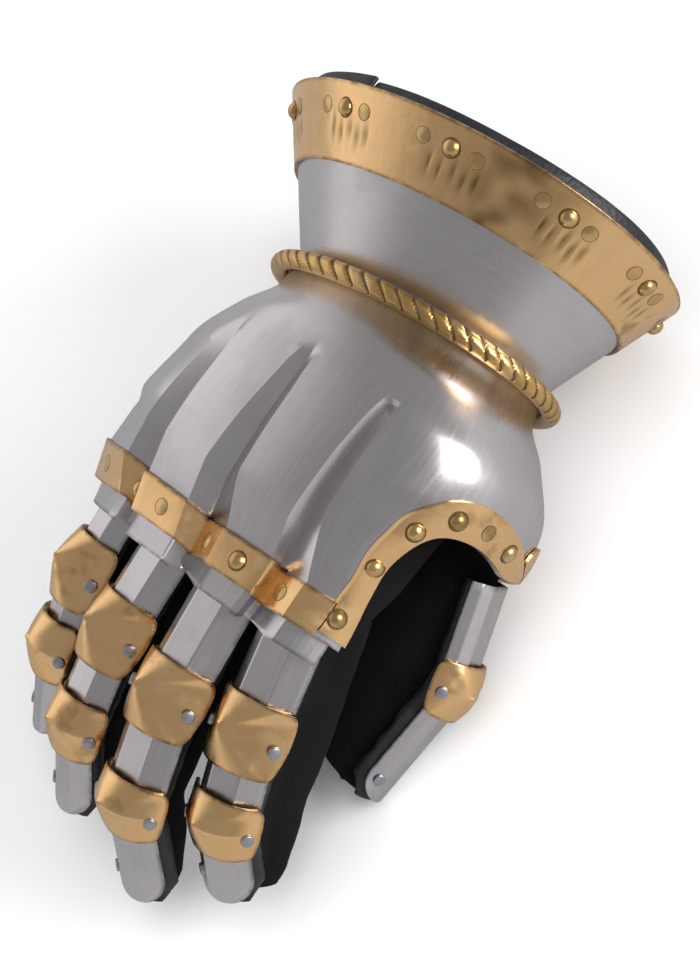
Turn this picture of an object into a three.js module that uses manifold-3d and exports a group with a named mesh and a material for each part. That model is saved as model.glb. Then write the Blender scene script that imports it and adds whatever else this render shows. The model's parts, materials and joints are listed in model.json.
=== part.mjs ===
// Armoured gauntlet for a right hand: a flared steel cuff, a fluted hand plate and small plates along
// the fingers and thumb, edged in brass and carried on a leather glove.
//
// Hand frame, in millimetres: the origin is the middle of the wrist ring, +Y runs towards the mouth of
// the cuff, -Y towards the fingertips, +X is the thumb side and +Z is the back of the hand. "reach" is
// the distance from the wrist towards the fingertips. The last lines turn the hand to lie on a surface.
import * as THREE from 'three';
import { mergeVertices } from 'three/addons/utils/BufferGeometryUtils.js';
import Module from 'manifold-3d';

const wasm = await Module();
wasm.setup();

// ---- driving dimensions ---------------------------------------------------------------------------

const SHEET = 1.3; // steel and brass sheet
const LEATHER = 1.7; // glove leather
const GAP = 0.3; // clearance between pieces that lie on each other

const WRIST = { half: 54, tall: 43.5 }; // hand plate's outer half width and half height at the wrist
const NECK = { from: -3, to: 4 }; // the cuff's neck inside the hand plate, along Y
const RIM = { y: 53.5, half: 81.5, tall: 66.5, rise: 8.6, tilt: -2 }; // the cuff's mouth
const CUFF_BAND = 25; // width of the brass band round the mouth
const LINING_PAST_RIM = 7; // leather that shows beyond the mouth
const ROPE = { half: 58.1, tall: 47.6, radius: 3.5 };

const BAND = 13.5; // width of the brass band along the knuckles
const LAME_SHOWS = 8; // knuckle lame past the edge of the hand plate
const REST = { pitch: 0.04, roll: -8.55 }; // turn of the hand as it lies, in degrees

// Hand plate sections: reach from the wrist, middle, half width, height of the back, height of the
// widest line, depth on the palm side, and the power that squares the oval
const HAND_SECTIONS = [
  { reach: -6, middle: 0, half: 54, top: 43.5, wide: 0, palm: -43.5, power: 2.0 },
  { reach: 4, middle: 0, half: 54, top: 43.5, wide: 0, palm: -43.5, power: 2.0 },
  { reach: 20, middle: 1.5, half: 65, top: 49, wide: 0, palm: -47, power: 2.2 },
  { reach: 38, middle: 2, half: 74.5, top: 51.5, wide: -2, palm: -52, power: 2.45 },
  { reach: 55, middle: -1, half: 76, top: 51, wide: -4, palm: -56, power: 2.6 },
  { reach: 62, middle: -3.5, half: 75, top: 50.2, wide: -4, palm: -56, power: 2.65 },
  { reach: 70, middle: -6, half: 72, top: 49, wide: 2, palm: -50, power: 2.7 },
  { reach: 86, middle: -10, half: 67, top: 46, wide: 5, palm: -40, power: 2.75 },
  { reach: 98, middle: -10, half: 65, top: 39.5, wide: 5, palm: -38, power: 2.8 },
  { reach: 122, middle: -10, half: 63, top: 36, wide: 4, palm: -36, power: 2.8 },
];

// Flutes between the knuckles: where each starts and where it meets the knuckle edge
const FLUTES = [
  { fromReach: 23, fromX: -30, toReach: 98, toX: -41 },
  { fromReach: 26, fromX: 5, toReach: 101, toX: -8 },
  { fromReach: 32, fromX: 41, toReach: 104, toX: 27 },
];
const FLUTE_DEPTH = 8;

// Edge of the hand plate along the knuckles, from the little finger's side to the thumb's side
const KNUCKLE_EDGE = [
  { col: -2.3, reach: 89 },
  { col: -1.6, reach: 98 },
  { col: -0.6, reach: 104.5 },
  { col: 0.5, reach: 110 },
  { col: 1.4, reach: 112.5 },
  { col: 2.2, reach: 112 },
];

// Cut-out for palm and thumb, seen from the side: height of the lower edge at each place along Y
const THUMB_CUT = [
  { y: -135, z: 12 }, { y: -108, z: 14.5 }, { y: -90, z: 19 }, { y: -77, z: 23 }, { y: -68, z: 23 },
  { y: -62, z: 18.5 }, { y: -59, z: 8 }, { y: -59, z: -6 }, { y: -60, z: -18 }, { y: -58, z: -28 },
  { y: -56, z: -36 }, { y: -56, z: -46 },
];
const THUMB_BAND_TOP = [
  { y: -135, z: 26 }, { y: -108, z: 25 }, { y: -90, z: 27 }, { y: -76, z: 31 }, { y: -63, z: 32 },
  { y: -52, z: 27 }, { y: -46.5, z: 16 }, { y: -46, z: 3 }, { y: -48, z: -10 }, { y: -52, z: -20 },
  { y: -57, z: -32.4 },
];
const PALM_CUT = [
  { y: -135, z: -6 }, { y: -100, z: -6 }, { y: -76, z: -9 }, { y: -66, z: -18 }, { y: -60, z: -32 },
  { y: -56, z: -46 },
];
const WRIST_BAND = [
  { y: -43, z: -31 }, { y: -44, z: -26 }, { y: -46.5, z: -22.5 }, { y: -49.5, z: -21.5 },
  { y: -52.3, z: -22.6 }, { y: -56.2, z: -32.4 }, { y: -56, z: -90 }, { y: -43, z: -90 },
];

// Fingers: base of the plates at the knuckle lame, sideways turn, roll, downward bend of the three
// lengths, half width of the plates, the three lengths, and the glove finger's depth and bulge
const FINGERS = [
  { name: 'index', base: [34.6, -119.6, 22.2], yaw: -3.5, roll: 8.8, bend: [17.5, 11.8, 27.9], half: 14.1,
    length: [34.4, 36.1, 34.3], deep: [36, 45, 42, 28], bulge: 9 },
  { name: 'middle', base: [5.4, -117.2, 29.2], yaw: -5.6, roll: 1.7, bend: [9.8, 16.8, 33.3], half: 14.5,
    length: [38.6, 44.1, 45.3], deep: [32, 34, 31, 24], bulge: 0 },
  { name: 'ring', base: [-26.2, -112, 30.2], yaw: -9, roll: -2.8, bend: [10.3, 13.6, 26.5], half: 12.8,
    length: [32.9, 38.5, 38.9], deep: [30, 32, 29, 22], bulge: 0 },
  { name: 'little', base: [-57.8, -105.2, 25], yaw: -9.9, roll: -15, bend: [11.7, 14.3, 20.8], half: 11.6,
    length: [25, 31.8, 38], deep: [28, 29, 27, 21], bulge: 0 },
];

// Thumb: start of its first plate, direction of its two lengths, the way its back faces, and sizes
const THUMB = {
  name: 'thumb', start: [63.2, -53, -33.5], dirs: [[0.03, -0.95, -0.32], [-0.345, -0.91, -0.24]],
  back: [0.95, 0, -0.22], half: 12.5, length: [47, 51], deep: [50, 52, 38],
};

const STEEL = { color: 0xaeacb2, roughness: 0.32, metalness: 1 };
const BRASS = { color: 0xcf9f5b, roughness: 0.3, metalness: 1 };
const GLOVE = { color: 0x151417, roughness: 0.75, metalness: 0 };
const RIVET_SIDES = 6;

// ---- meshes -----------------------------------------------------------------------------------------

function signedVolume(points, triangles) {
  let volume = 0;
  for (let i = 0; i < triangles.length; i += 3) {
    const [a, b, c] = [0, 1, 2].map((k) => points[triangles[i + k]]);
    volume += a.dot(b.clone().cross(c)) / 6;
  }
  return volume;
}

function solid(points, triangles) {
  if (signedVolume(points, triangles) < 0) {
    for (let i = 0; i < triangles.length; i += 3) {
      [triangles[i], triangles[i + 1]] = [triangles[i + 1], triangles[i]];
    }
  }
  const geometry = new THREE.BufferGeometry();
  geometry.setAttribute('position', new THREE.Float32BufferAttribute(points.flatMap((p) => p.toArray()), 3));
  geometry.setIndex(triangles);
  return geometry;
}

// Wall between an outer grid of points and the inner grid behind it. A ring closes on itself.
function wall(outer, inner, ring = false) {
  const rows = outer.length;
  const cols = outer[0].length;
  const points = [...outer.flat(), ...inner.flat()];
  const at = (layer, i, j) => layer * rows * cols + i * cols + (j % cols);
  const triangles = [];
  const quad = (a, b, c, d) => triangles.push(a, b, c, a, c, d);
  const last = ring ? cols : cols - 1;
  for (let j = 0; j < last; j++) {
    for (let i = 0; i < rows - 1; i++) {
      quad(at(0, i, j), at(0, i + 1, j), at(0, i + 1, j + 1), at(0, i, j + 1));
      quad(at(1, i, j), at(1, i, j + 1), at(1, i + 1, j + 1), at(1, i + 1, j));
    }
    quad(at(0, 0, j), at(0, 0, j + 1), at(1, 0, j + 1), at(1, 0, j));
    quad(at(0, rows - 1, j), at(1, rows - 1, j), at(1, rows - 1, j + 1), at(0, rows - 1, j + 1));
  }
  if (!ring) {
    for (let i = 0; i < rows - 1; i++) {
      quad(at(0, i, 0), at(1, i, 0), at(1, i + 1, 0), at(0, i + 1, 0));
      quad(at(0, i, cols - 1), at(0, i + 1, cols - 1), at(1, i + 1, cols - 1), at(1, i, cols - 1));
    }
  }
  return solid(points, triangles);
}

// Solid through closed sections; "loop" joins the last section to the first, otherwise both are capped
function loft(sections, loop = false) {
  const cols = sections[0].length;
  const points = sections.flat();
  const triangles = [];
  const steps = loop ? sections.length : sections.length - 1;
  for (let i = 0; i < steps; i++) {
    const next = (i + 1) % sections.length;
    for (let j = 0; j < cols; j++) {
      const k = (j + 1) % cols;
      triangles.push(i * cols + j, next * cols + j, next * cols + k);
      triangles.push(i * cols + j, next * cols + k, i * cols + k);
    }
  }
  if (!loop) {
    for (const [i, flip] of [[0, false], [sections.length - 1, true]]) {
      const middle = new THREE.Vector3();
      sections[i].forEach((p) => middle.addScaledVector(p, 1 / cols));
      const centre = points.push(middle) - 1;
      for (let j = 0; j < cols; j++) {
        const pair = [i * cols + j, i * cols + ((j + 1) % cols)];
        triangles.push(centre, ...(flip ? pair.reverse() : pair));
      }
    }
  }
  return solid(points, triangles);
}

function toManifold(geometry) {
  const bare = geometry.clone();
  bare.deleteAttribute('normal');
  bare.deleteAttribute('uv');
  const merged = mergeVertices(bare, 1e-4);
  return new wasm.Manifold(new wasm.Mesh({
    numProp: 3,
    vertProperties: new Float32Array(merged.attributes.position.array),
    triVerts: new Uint32Array(merged.index.array),
  }));
}

function fromManifold(body) {
  const mesh = body.getMesh();
  const geometry = new THREE.BufferGeometry();
  geometry.setAttribute('position', new THREE.BufferAttribute(new Float32Array(mesh.vertProperties), 3));
  geometry.setIndex(new THREE.BufferAttribute(new Uint32Array(mesh.triVerts), 1));
  return geometry;
}

const join = (...parts) => fromManifold(parts.map(toManifold).reduce((a, b) => a.add(b)));
const cut = (part, ...tools) => fromManifold(tools.map(toManifold).reduce((a, b) => a.subtract(b), toManifold(part)));
const common = (part, tool) => fromManifold(toManifold(part).intersect(toManifold(tool)));

// ---- small helpers ------------------------------------------------------------------------------------

const vec = (x, y, z) => new THREE.Vector3(x, y, z);
const rad = THREE.MathUtils.degToRad;
const spread = (from, to, steps) => Array.from({ length: steps + 1 }, (_, i) => from + ((to - from) * i) / steps);
const mix = THREE.MathUtils.lerp;

// Value of one column of a table at a place, straight between rows
function between(table, key, place, column) {
  let k = table.findIndex((row) => row[key] >= place);
  if (k === -1) k = table.length - 1;
  if (k === 0) k = 1;
  const [a, b] = [table[k - 1], table[k]];
  const t = THREE.MathUtils.clamp((place - a[key]) / (b[key] - a[key]), 0, 1);
  return mix(a[column], b[column], t);
}

// Rivet head standing on a surface: a low drum, smaller at the top, sunk a little into its setting
function rivet(point, normal, radius, height, crown = 0.55, sunk = 0.5) {
  const head = new THREE.CylinderGeometry(radius * crown, radius, height + sunk, RIVET_SIDES);
  head.translate(0, (height - sunk) / 2, 0);
  head.applyQuaternion(new THREE.Quaternion().setFromUnitVectors(vec(0, 1, 0), normal));
  return head.translate(point.x, point.y, point.z);
}
const domeRivet = ({ point, normal }) => rivet(point, normal, 3.2, 2.2);
const flushRivet = ({ point, normal }) => rivet(point, normal, 3.0, 0.3, 0.92);

// Where a line from outside first meets a piece, and the way its face looks there
function seat(piece, from, towards) {
  const mesh = new THREE.Mesh(piece, new THREE.MeshBasicMaterial({ side: THREE.DoubleSide }));
  const [hit] = new THREE.Raycaster(from, towards.clone().sub(from).normalize()).intersectObject(mesh);
  return { point: hit.point, normal: hit.face.normal.clone() };
}

// ---- cuff ---------------------------------------------------------------------------------------------

// Point of the cuff's outer face: along is 0 at the neck and 1 at the mouth
function cuffPoint(angle, along, offset = 0) {
  const neckHalf = WRIST.half - SHEET - 2 * GAP;
  const neckTall = WRIST.tall - SHEET - 2 * GAP;
  const half = mix(neckHalf, RIM.half, along) + offset;
  const tall = mix(neckTall, RIM.tall, along) + offset;
  const x = half * Math.sin(angle);
  const z = tall * Math.cos(angle) + RIM.rise * along;
  const lean = Math.tan(rad(RIM.tilt)) * tall * Math.cos(angle) * along;
  return vec(x, mix(NECK.to, RIM.y, along) - lean, z);
}

const CUFF_SLANT = Math.hypot(RIM.y - NECK.to, RIM.half - WRIST.half); // length of the cone's side

function cuffGrid(rows, offset, sides = 36) {
  return rows.map((row) => spread(0, 2 * Math.PI, sides).slice(0, sides).map((angle) => {
    if (row.neck === undefined) return cuffPoint(angle, row.along, offset);
    return cuffPoint(angle, 0, offset).setY(row.neck);
  }));
}

function cuffPlate() {
  const rows = [{ neck: NECK.from }, { along: 0 }, { along: 1 }];
  return wall(cuffGrid(rows, 0), cuffGrid(rows, -SHEET), true);
}

// Ten raised rivets round the mouth; the flush ones between them are hammered level with the band
function cuffBorder() {
  const start = 1 - CUFF_BAND / CUFF_SLANT;
  const rows = [{ along: start }, { along: 1 + 0.8 / CUFF_SLANT }];
  const band = wall(cuffGrid(rows, GAP + SHEET), cuffGrid(rows, GAP), true);
  const along = 1 - 7.5 / CUFF_SLANT;
  const rivets = spread(0, 360, 10).slice(0, 10).map((middle) => {
    const angle = rad(middle + 18);
    return domeRivet(seat(band, cuffPoint(angle, along, 30), cuffPoint(angle, along)));
  });
  return join(band, ...rivets);
}

function ropeRing() {
  const sections = spread(0, 2 * Math.PI, 36).slice(0, 36).map((angle) => {
    const out = vec(Math.sin(angle) / ROPE.half, 0, Math.cos(angle) / ROPE.tall).normalize();
    const middle = vec(ROPE.half * Math.sin(angle), 0, ROPE.tall * Math.cos(angle));
    return spread(0, 2 * Math.PI, 6).slice(0, 6).map((turn) => middle.clone()
      .addScaledVector(out, ROPE.radius * Math.cos(turn)).add(vec(0, ROPE.radius * Math.sin(turn), 0)));
  });
  return loft(sections, true);
}

// ---- hand plate -----------------------------------------------------------------------------------------

const handSection = (reach) => Object.fromEntries(['middle', 'half', 'top', 'wide', 'palm', 'power']
  .map((column) => [column, between(HAND_SECTIONS, 'reach', reach, column)]));

const flute = (k, reach) => {
  const { fromReach, toReach, fromX, toX } = FLUTES[k];
  const along = (reach - fromReach) / (toReach - fromReach);
  return { x: mix(fromX, toX, THREE.MathUtils.clamp(along, 0, 1.2)), along: THREE.MathUtils.clamp(along, 0, 1) };
};

// Oval angle of each line that bounds a ridge of the back: edge, three flutes, edge
function ridgeAngles(reach) {
  const { middle, half, power } = handSection(reach);
  const angles = FLUTES.map((_, k) => {
    const side = (flute(k, reach).x - middle) / half;
    return Math.sign(side) * Math.asin(Math.abs(side) ** (power / 2));
  });
  return [-Math.PI / 2, ...angles, Math.PI / 2];
}

// Depth of the flutes at a place between two of them: ridge is 0 to 3, part is 0 to 1 across it
function fluteDrop(ridge, part, reach) {
  const sides = [];
  if (ridge > 0) sides.push([ridge - 1, part]);
  if (ridge < 3) sides.push([ridge, 1 - part]);
  return sides.reduce((drop, [k, away]) => {
    const { along } = flute(k, reach);
    const open = mix(0.12, 0.55, along);
    return drop + FLUTE_DEPTH * Math.sqrt(along) * Math.max(0, 1 - away / open) ** 1.3;
  }, 0);
}

// Outer face of the hand plate. col runs -2 to 2 over the back from the little finger's edge to the
// thumb's edge, a unit for each ridge, and 2 to 6 round the palm side.
function handPoint(col, reach) {
  const { middle, half, top, wide, palm, power } = handSection(reach);
  let angle;
  let drop = 0;
  const turn = ((col + 2) % 8 + 8) % 8; // 0 to 4 on the back, 4 to 8 on the palm side
  if (turn <= 4) {
    const ridge = Math.min(3, Math.floor(turn));
    const part = turn - ridge;
    const lines = ridgeAngles(reach);
    angle = mix(lines[ridge], lines[ridge + 1], part);
    drop = fluteDrop(ridge, part, reach);
  } else {
    angle = Math.PI / 2 + ((turn - 4) / 4) * Math.PI;
  }
  const [sine, cosine] = [Math.sin(angle), Math.cos(angle)];
  const tall = cosine > 0 ? top - wide : wide - palm;
  const x = middle + half * Math.sign(sine) * Math.abs(sine) ** (2 / power);
  const z = wide + tall * Math.sign(cosine) * Math.abs(cosine) ** (2 / power);
  return vec(x - Math.sign(sine) * 0.15 * drop, -reach, z - drop);
}

function handNormal(col, reach) {
  const across = handPoint(col + 0.05, reach).sub(handPoint(col - 0.05, reach));
  const along = handPoint(col, reach + 1).sub(handPoint(col, reach - 1));
  return along.cross(across).normalize();
}
const handSkin = (col, reach, offset) => handPoint(col, reach).addScaledVector(handNormal(col, reach), offset);

const knuckleEdge = (col) => between(KNUCKLE_EDGE, 'col', col > 4 ? col - 8 : col, 'reach');

// Columns over the back are close to each flute and wide on the ridges between them
const RIDGE_PARTS = [0, 0.14, 0.32, 0.5, 0.68, 0.86];
const BACK_COLS = [-2, -1, 0, 1].flatMap((ridge) => RIDGE_PARTS.map((part) => ridge + part));
const PALM_COLS = spread(2, 6, 16).slice(0, 16);
const HAND_COLS = [...BACK_COLS, ...PALM_COLS];
const HAND_ROWS = [-3.5, 4, 20, 38, 55, 62, 70]; // reach of the rows before those that follow the knuckles

function handRows(col) {
  const edge = knuckleEdge(col);
  const bulge = Math.min(86, edge - 22);
  return [...HAND_ROWS, bulge, edge - BAND, edge];
}

function handShell(outside, inside, cols = HAND_COLS) {
  const skin = (offset) => HAND_ROWS.concat(0, 0, 0).map((_, i) => cols.map((col) => {
    return handSkin(col, handRows(col)[i], offset);
  }));
  return wall(skin(outside), skin(inside), true);
}

// Flat outline seen from the side, carried across X
function sideProfile(outline, fromX, toX) {
  const shape = new THREE.Shape(outline.map(({ y, z }) => new THREE.Vector2(y, z)));
  const prism = new THREE.ExtrudeGeometry(shape, { depth: toX - fromX, bevelEnabled: false });
  prism.applyMatrix4(new THREE.Matrix4().makeBasis(vec(0, 1, 0), vec(0, 0, 1), vec(1, 0, 0)));
  return prism.translate(fromX, 0, 0);
}
const below = (edge, lift = 0) => {
  const line = edge.map(({ y, z }) => ({ y: y + lift, z: z + lift }));
  return [...line, { y: line.at(-1).y, z: -90 }, { y: -135, z: -90 }];
};

const thumbCutter = () => sideProfile(below(THUMB_CUT), 1, 130);
const palmCutter = () => sideProfile(below(PALM_CUT), -130, 1.5);

function handPlate() {
  const plate = cut(handShell(0, -SHEET), thumbCutter(), palmCutter());
  return join(plate, domeRivet(seat(plate, handSkin(2.9, 31, 30), handPoint(2.9, 31))));
}

function handPatch(cols, rowsOf, outside, inside) {
  const skin = (offset) => rowsOf(0).map((_, i) => cols.map((col) => handSkin(col, rowsOf(col)[i], offset)));
  return wall(skin(outside), skin(inside));
}

// Heads stand at the ends, in the valleys and on the ridges; those on the ridges are flush
const KNUCKLE_RIVETS = [
  { col: -2.25, dome: true }, { col: -1.5, dome: false }, { col: -1, dome: true }, { col: -0.5, dome: false },
  { col: 0, dome: false }, { col: 0.5, dome: true }, { col: 1, dome: false },
];

function knuckleBorder() {
  const cols = [-2.5, -2.25, ...BACK_COLS.filter((col) => col < 1.9)];
  const rows = (col) => [knuckleEdge(col) - BAND, knuckleEdge(col)];
  const band = cut(handPatch(cols, rows, GAP + SHEET, GAP), sideProfile(below(THUMB_BAND_TOP, 0.45), 20, 130));
  const heads = KNUCKLE_RIVETS.map(({ col, dome }) => {
    const reach = knuckleEdge(col) - BAND / 2;
    const { point } = seat(band, handSkin(col, reach, 20), handPoint(col, reach));
    return (dome ? domeRivet : flushRivet)({ point, normal: handNormal(col, reach) });
  });
  return cut(join(band, ...heads), handShell(0.2, -3));
}

const THUMB_RIVETS = [
  { reach: 103.5, z: 19.5, dome: true }, { reach: 82, z: 23.3, dome: true }, { reach: 66, z: 24, dome: true },
  { reach: 56, z: 18.5, dome: true }, { reach: 53, z: 7, dome: false }, { reach: 53.3, z: -8, dome: true },
];

function thumbBorder() {
  const whole = sideProfile([...THUMB_BAND_TOP, ...[...THUMB_CUT].reverse().slice(2)], 10, 130);
  const past = sideProfile([{ y: -140, z: -90 }, { y: -140, z: 60 }, { y: -110.5, z: 60 }, { y: -108.5, z: -90 }], 0, 140);
  const band = cut(common(handShell(GAP + SHEET, GAP), whole), thumbCutter(), past);
  return join(band, ...THUMB_RIVETS.map(({ reach, z, dome }) => {
    return (dome ? domeRivet : flushRivet)(seat(band, vec(150, -reach, z + 40), vec(50, -reach, z)));
  }));
}

// Band under the wrist, along the hidden lower edge of the hand plate
function wristBorder() {
  const band = cut(common(handShell(GAP + SHEET, GAP), sideProfile(WRIST_BAND, -130, 130)), thumbCutter(), palmCutter());
  return join(band, ...[2.98, 5.02].map((col) => {
    return domeRivet(seat(band, handSkin(col, 49.5, 20), handPoint(col, 49.5)));
  }));
}

function rollRings(radius) {
  const ring = (col) => {
    const middle = handSkin(col, 60.4, -2.1);
    const out = handNormal(col, 58);
    return spread(0, 2 * Math.PI, 8).slice(0, 8).map((turn) => middle.clone()
      .addScaledVector(out, radius * Math.cos(turn)).add(vec(0, radius * Math.sin(turn), 0)));
  };
  return spread(3.12, 4.9, 7).map(ring);
}

const edgeRoll = () => wall(rollRings(3.7), rollRings(2.3), true);

function knuckleLame() {
  const cols = [-2.05, ...BACK_COLS.filter((col) => col > -2 && col < 1.7), 1.8];
  const rows = (col) => [knuckleEdge(col) - 6, knuckleEdge(col) + 1, knuckleEdge(col) + LAME_SHOWS];
  const top = -SHEET - GAP - 0.05;
  return cut(handPatch(cols, rows, top, top - SHEET), handShell(0.5, -SHEET - 0.25));
}

// ---- fingers ----------------------------------------------------------------------------------------------

// Frame of a finger length: X to the thumb side, -Y towards the fingertip, +Z out of its back
function fingerFrames({ base, yaw, roll, bend, length }) {
  let angle = 0;
  const origin = vec(...base);
  return bend.map((more, k) => {
    angle += more;
    const turn = new THREE.Matrix4().makeRotationZ(rad(yaw))
      .multiply(new THREE.Matrix4().makeRotationX(rad(angle)))
      .multiply(new THREE.Matrix4().makeRotationY(rad(roll)));
    const frame = turn.clone().setPosition(origin);
    origin.addScaledVector(vec(0, -1, 0).transformDirection(turn), length[k]);
    return frame;
  });
}

function thumbFrames({ start, dirs, back, length }) {
  const origin = vec(...start);
  return dirs.map((dir, k) => {
    const y = vec(...dir).normalize().negate();
    const z = vec(...back);
    z.addScaledVector(y, -z.dot(y)).normalize();
    const frame = new THREE.Matrix4().makeBasis(y.clone().cross(z), y, z).setPosition(origin);
    origin.addScaledVector(y, -length[k]);
    return frame;
  });
}

// Arc over a finger at a place along a frame: angle 0 is the line along its back
function arch(frame, along, half, lift, angles) {
  return angles.map((angle) => vec(half * Math.sin(angle), -along, 0.85 * half * (Math.cos(angle) - 1) + lift)
    .applyMatrix4(frame));
}

const OPEN = rad(74); // how far the plates reach down each side
const JOINT_GAP = 3.4; // from a joint to the end of the plates under its dome

// Plate from one place to another along one length, with a round end where it is a fingertip
function fingerPlate(frame, from, to, half, roundEnd = false) {
  const places = roundEnd
    ? [from, to - 0.85 * half, to - 0.3 * half, to]
    : [from, to];
  const open = (place) => {
    const past = Math.max(0, (place - (to - 0.85 * half)) / (0.85 * half));
    return roundEnd ? rad(66) * Math.sqrt(Math.max(0.03, 1 - past ** 2)) : OPEN;
  };
  const rows = (inset) => places.map((place) => {
    return arch(frame, place, half - inset, -inset, spread(-open(place), open(place), 6));
  });
  const plate = wall(rows(0), rows(SHEET));
  if (!roundEnd) return plate;
  const [point] = arch(frame, to - 9, half, -0.1, [rad(-40)]);
  const normal = vec(0.85 * Math.sin(rad(-40)), 0, Math.cos(rad(-40))).normalize().transformDirection(frame);
  return join(plate, rivet(point, normal, 2.1, 0.8, 0.85, 0.6));
}

// Frame part of the way round a bend, for place -1 (end over the first length) to 1
function bentFrame(first, second, joint, reachEach, place) {
  const blend = THREE.MathUtils.smoothstep(place, -1, 1);
  const turns = [first, second].map((frame) => new THREE.Quaternion().setFromRotationMatrix(frame));
  const frame = place < 0 ? first : second;
  const along = vec(0, -1, 0).transformDirection(frame).multiplyScalar(place * reachEach);
  return new THREE.Matrix4().compose(joint.clone().add(along), turns[0].clone().slerp(turns[1], blend), vec(1, 1, 1));
}

function dome(first, second, half, reachEach, peak) {
  const joint = vec(0, 0, 0).setFromMatrixPosition(second);
  const places = [-1, -0.5, 0, 0.5, 1];
  const rows = (inset) => places.map((place) => {
    const rise = 1 - Math.abs(place) ** 1.5;
    const open = place < 0 ? rad(80) : rad(mix(80, 68, place));
    const wide = half + 1.9 + rise * 0.8 - inset;
    return arch(bentFrame(first, second, joint, reachEach, place), 0, wide, 2 - inset, spread(-open, open, 6))
      .map((point, j, row) => {
        const crown = peak * rise * Math.sin((Math.PI * j) / (row.length - 1)) ** 2;
        return point.add(vec(0, 0, crown).transformDirection(first).multiplyScalar(crown));
      });
  });
  const shell = wall(rows(0), rows(SHEET));
  const heads = [-1, 1].map((side) => {
    const frame = bentFrame(first, second, joint, reachEach, 0.1);
    const angle = side * rad(58);
    const wide = half + 1.9 + 0.8;
    const [point] = arch(frame, 0, wide, 1.9 + peak * 0.2, [angle]);
    const normal = vec(0.85 * Math.sin(angle), 0, Math.cos(angle)).normalize().transformDirection(frame);
    return rivet(point, normal, 2.3, 0.9, 0.85, 0.7);
  });
  return join(shell, ...heads);
}

// Glove finger: closed sections along the lengths, under the plates. grow moves the wall out or in.
function stall(frames, length, { half, deep, bulge = 0, start }, grow) {
  const section = (frame, along, wide, depth, drop = 3.4) => {
    const across = wide - 4.2 + grow;
    const tall = (depth - drop) / 2 + grow;
    return spread(0, 2 * Math.PI, 8).slice(0, 8).map((turn) => {
      const low = Math.max(0, -Math.cos(turn));
      return vec(across * Math.sin(turn) + bulge * low, -along, tall * Math.cos(turn) - (depth + drop) / 2)
        .applyMatrix4(frame);
    });
  };
  const last = frames.length - 1;
  const rings = [section(frames[0], start, half, deep[0])];
  frames.forEach((frame, k) => {
    const wide = half * (1 - 0.05 * k);
    if (k > 0) {
      const joint = vec(0, 0, 0).setFromMatrixPosition(frame);
      rings.push(section(bentFrame(frames[k - 1], frame, joint, 10, 0), 0, wide, deep[k], 3.4 + 0.7 * k));
    }
    if (k === last) rings.push(section(frame, length[k] * 0.55, wide, mix(deep[k], deep[k + 1], 0.55), 3.4 + 0.8 * k));
  });
  const tip = length[last] + 1.5 + (grow < 0 ? grow : 0);
  const end = deep.at(-1);
  rings.push(section(frames[last], tip - 5, half * 0.86, end * 0.9, 5.2));
  rings.push(section(frames[last], tip, half * 0.68, end * 0.7, 6));
  return loft(rings);
}

// Leather strip under the plates of a finger; its edges show on both sides of them
function strap(frames, length, half, from = -1.5) {
  const last = frames.length - 1;
  const rows = (inset) => {
    const line = (frame, along, shrink, open) => arch(frame, along, half - SHEET - 0.4 - shrink - inset,
      -SHEET - 0.4 - shrink - inset, spread(-open, open, 6));
    const lines = frames.map((frame, k) => {
      if (k === 0) return line(frame, from, 0, rad(86));
      const joint = vec(0, 0, 0).setFromMatrixPosition(frame);
      return line(bentFrame(frames[k - 1], frame, joint, 10, 0), 0, 0.6 * k, rad(96));
    });
    return [...lines, line(frames[last], length[last] - 6, 0.7 * last, rad(92)),
      line(frames[last], length[last] + 1, 0.7 * last, rad(50))];
  };
  return wall(rows(0), rows(1.2));
}

// ---- leather glove ------------------------------------------------------------------------------------------

// Lining of the cuff, which shows past the mouth and leans in there
function gloveCuff() {
  const past = LINING_PAST_RIM / CUFF_SLANT;
  const rows = [{ neck: NECK.from }, { along: 0 }, { along: 0.95 }, { along: 1 + past }];
  const face = (inset) => rows.flatMap((row) => {
    return cuffGrid([row], -SHEET - 0.5 - inset - (row.along > 1 ? 6 : 0), 30);
  });
  return wall(face(0), face(LEATHER), true);
}

const GLOVE_SECTIONS = [
  { reach: 3.4, middle: 0, half: 49.8, top: 39.3, palm: -39.3 },
  { reach: 22, middle: 0, half: 52, top: 39, palm: -37 },
  { reach: 50, middle: -4, half: 58, top: 39, palm: -30 },
  { reach: 80, middle: -8, half: 58, top: 32, palm: -24 },
  { reach: 100, middle: -10, half: 56, top: 25, palm: -17 },
  { reach: 106, middle: -10, half: 50, top: 20, palm: -12 },
];

function gloveBody(grow, from) {
  const ring = (row) => spread(0, 2 * Math.PI, 16).slice(0, 16).map((turn) => {
    const [sine, cosine] = [Math.sin(turn), Math.cos(turn)];
    const centre = (row.top + row.palm) / 2;
    return vec(row.middle + (row.half + grow) * Math.sign(sine) * Math.abs(sine) ** 0.85, -row.reach - row.more,
      centre + ((row.top - row.palm) / 2 + grow) * Math.sign(cosine) * Math.abs(cosine) ** 0.85);
  });
  const last = GLOVE_SECTIONS.length - 1;
  return loft(GLOVE_SECTIONS.map((row, k) => ring({ ...row, more: k === last ? grow : k === 0 ? -from : 0 })));
}

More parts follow.
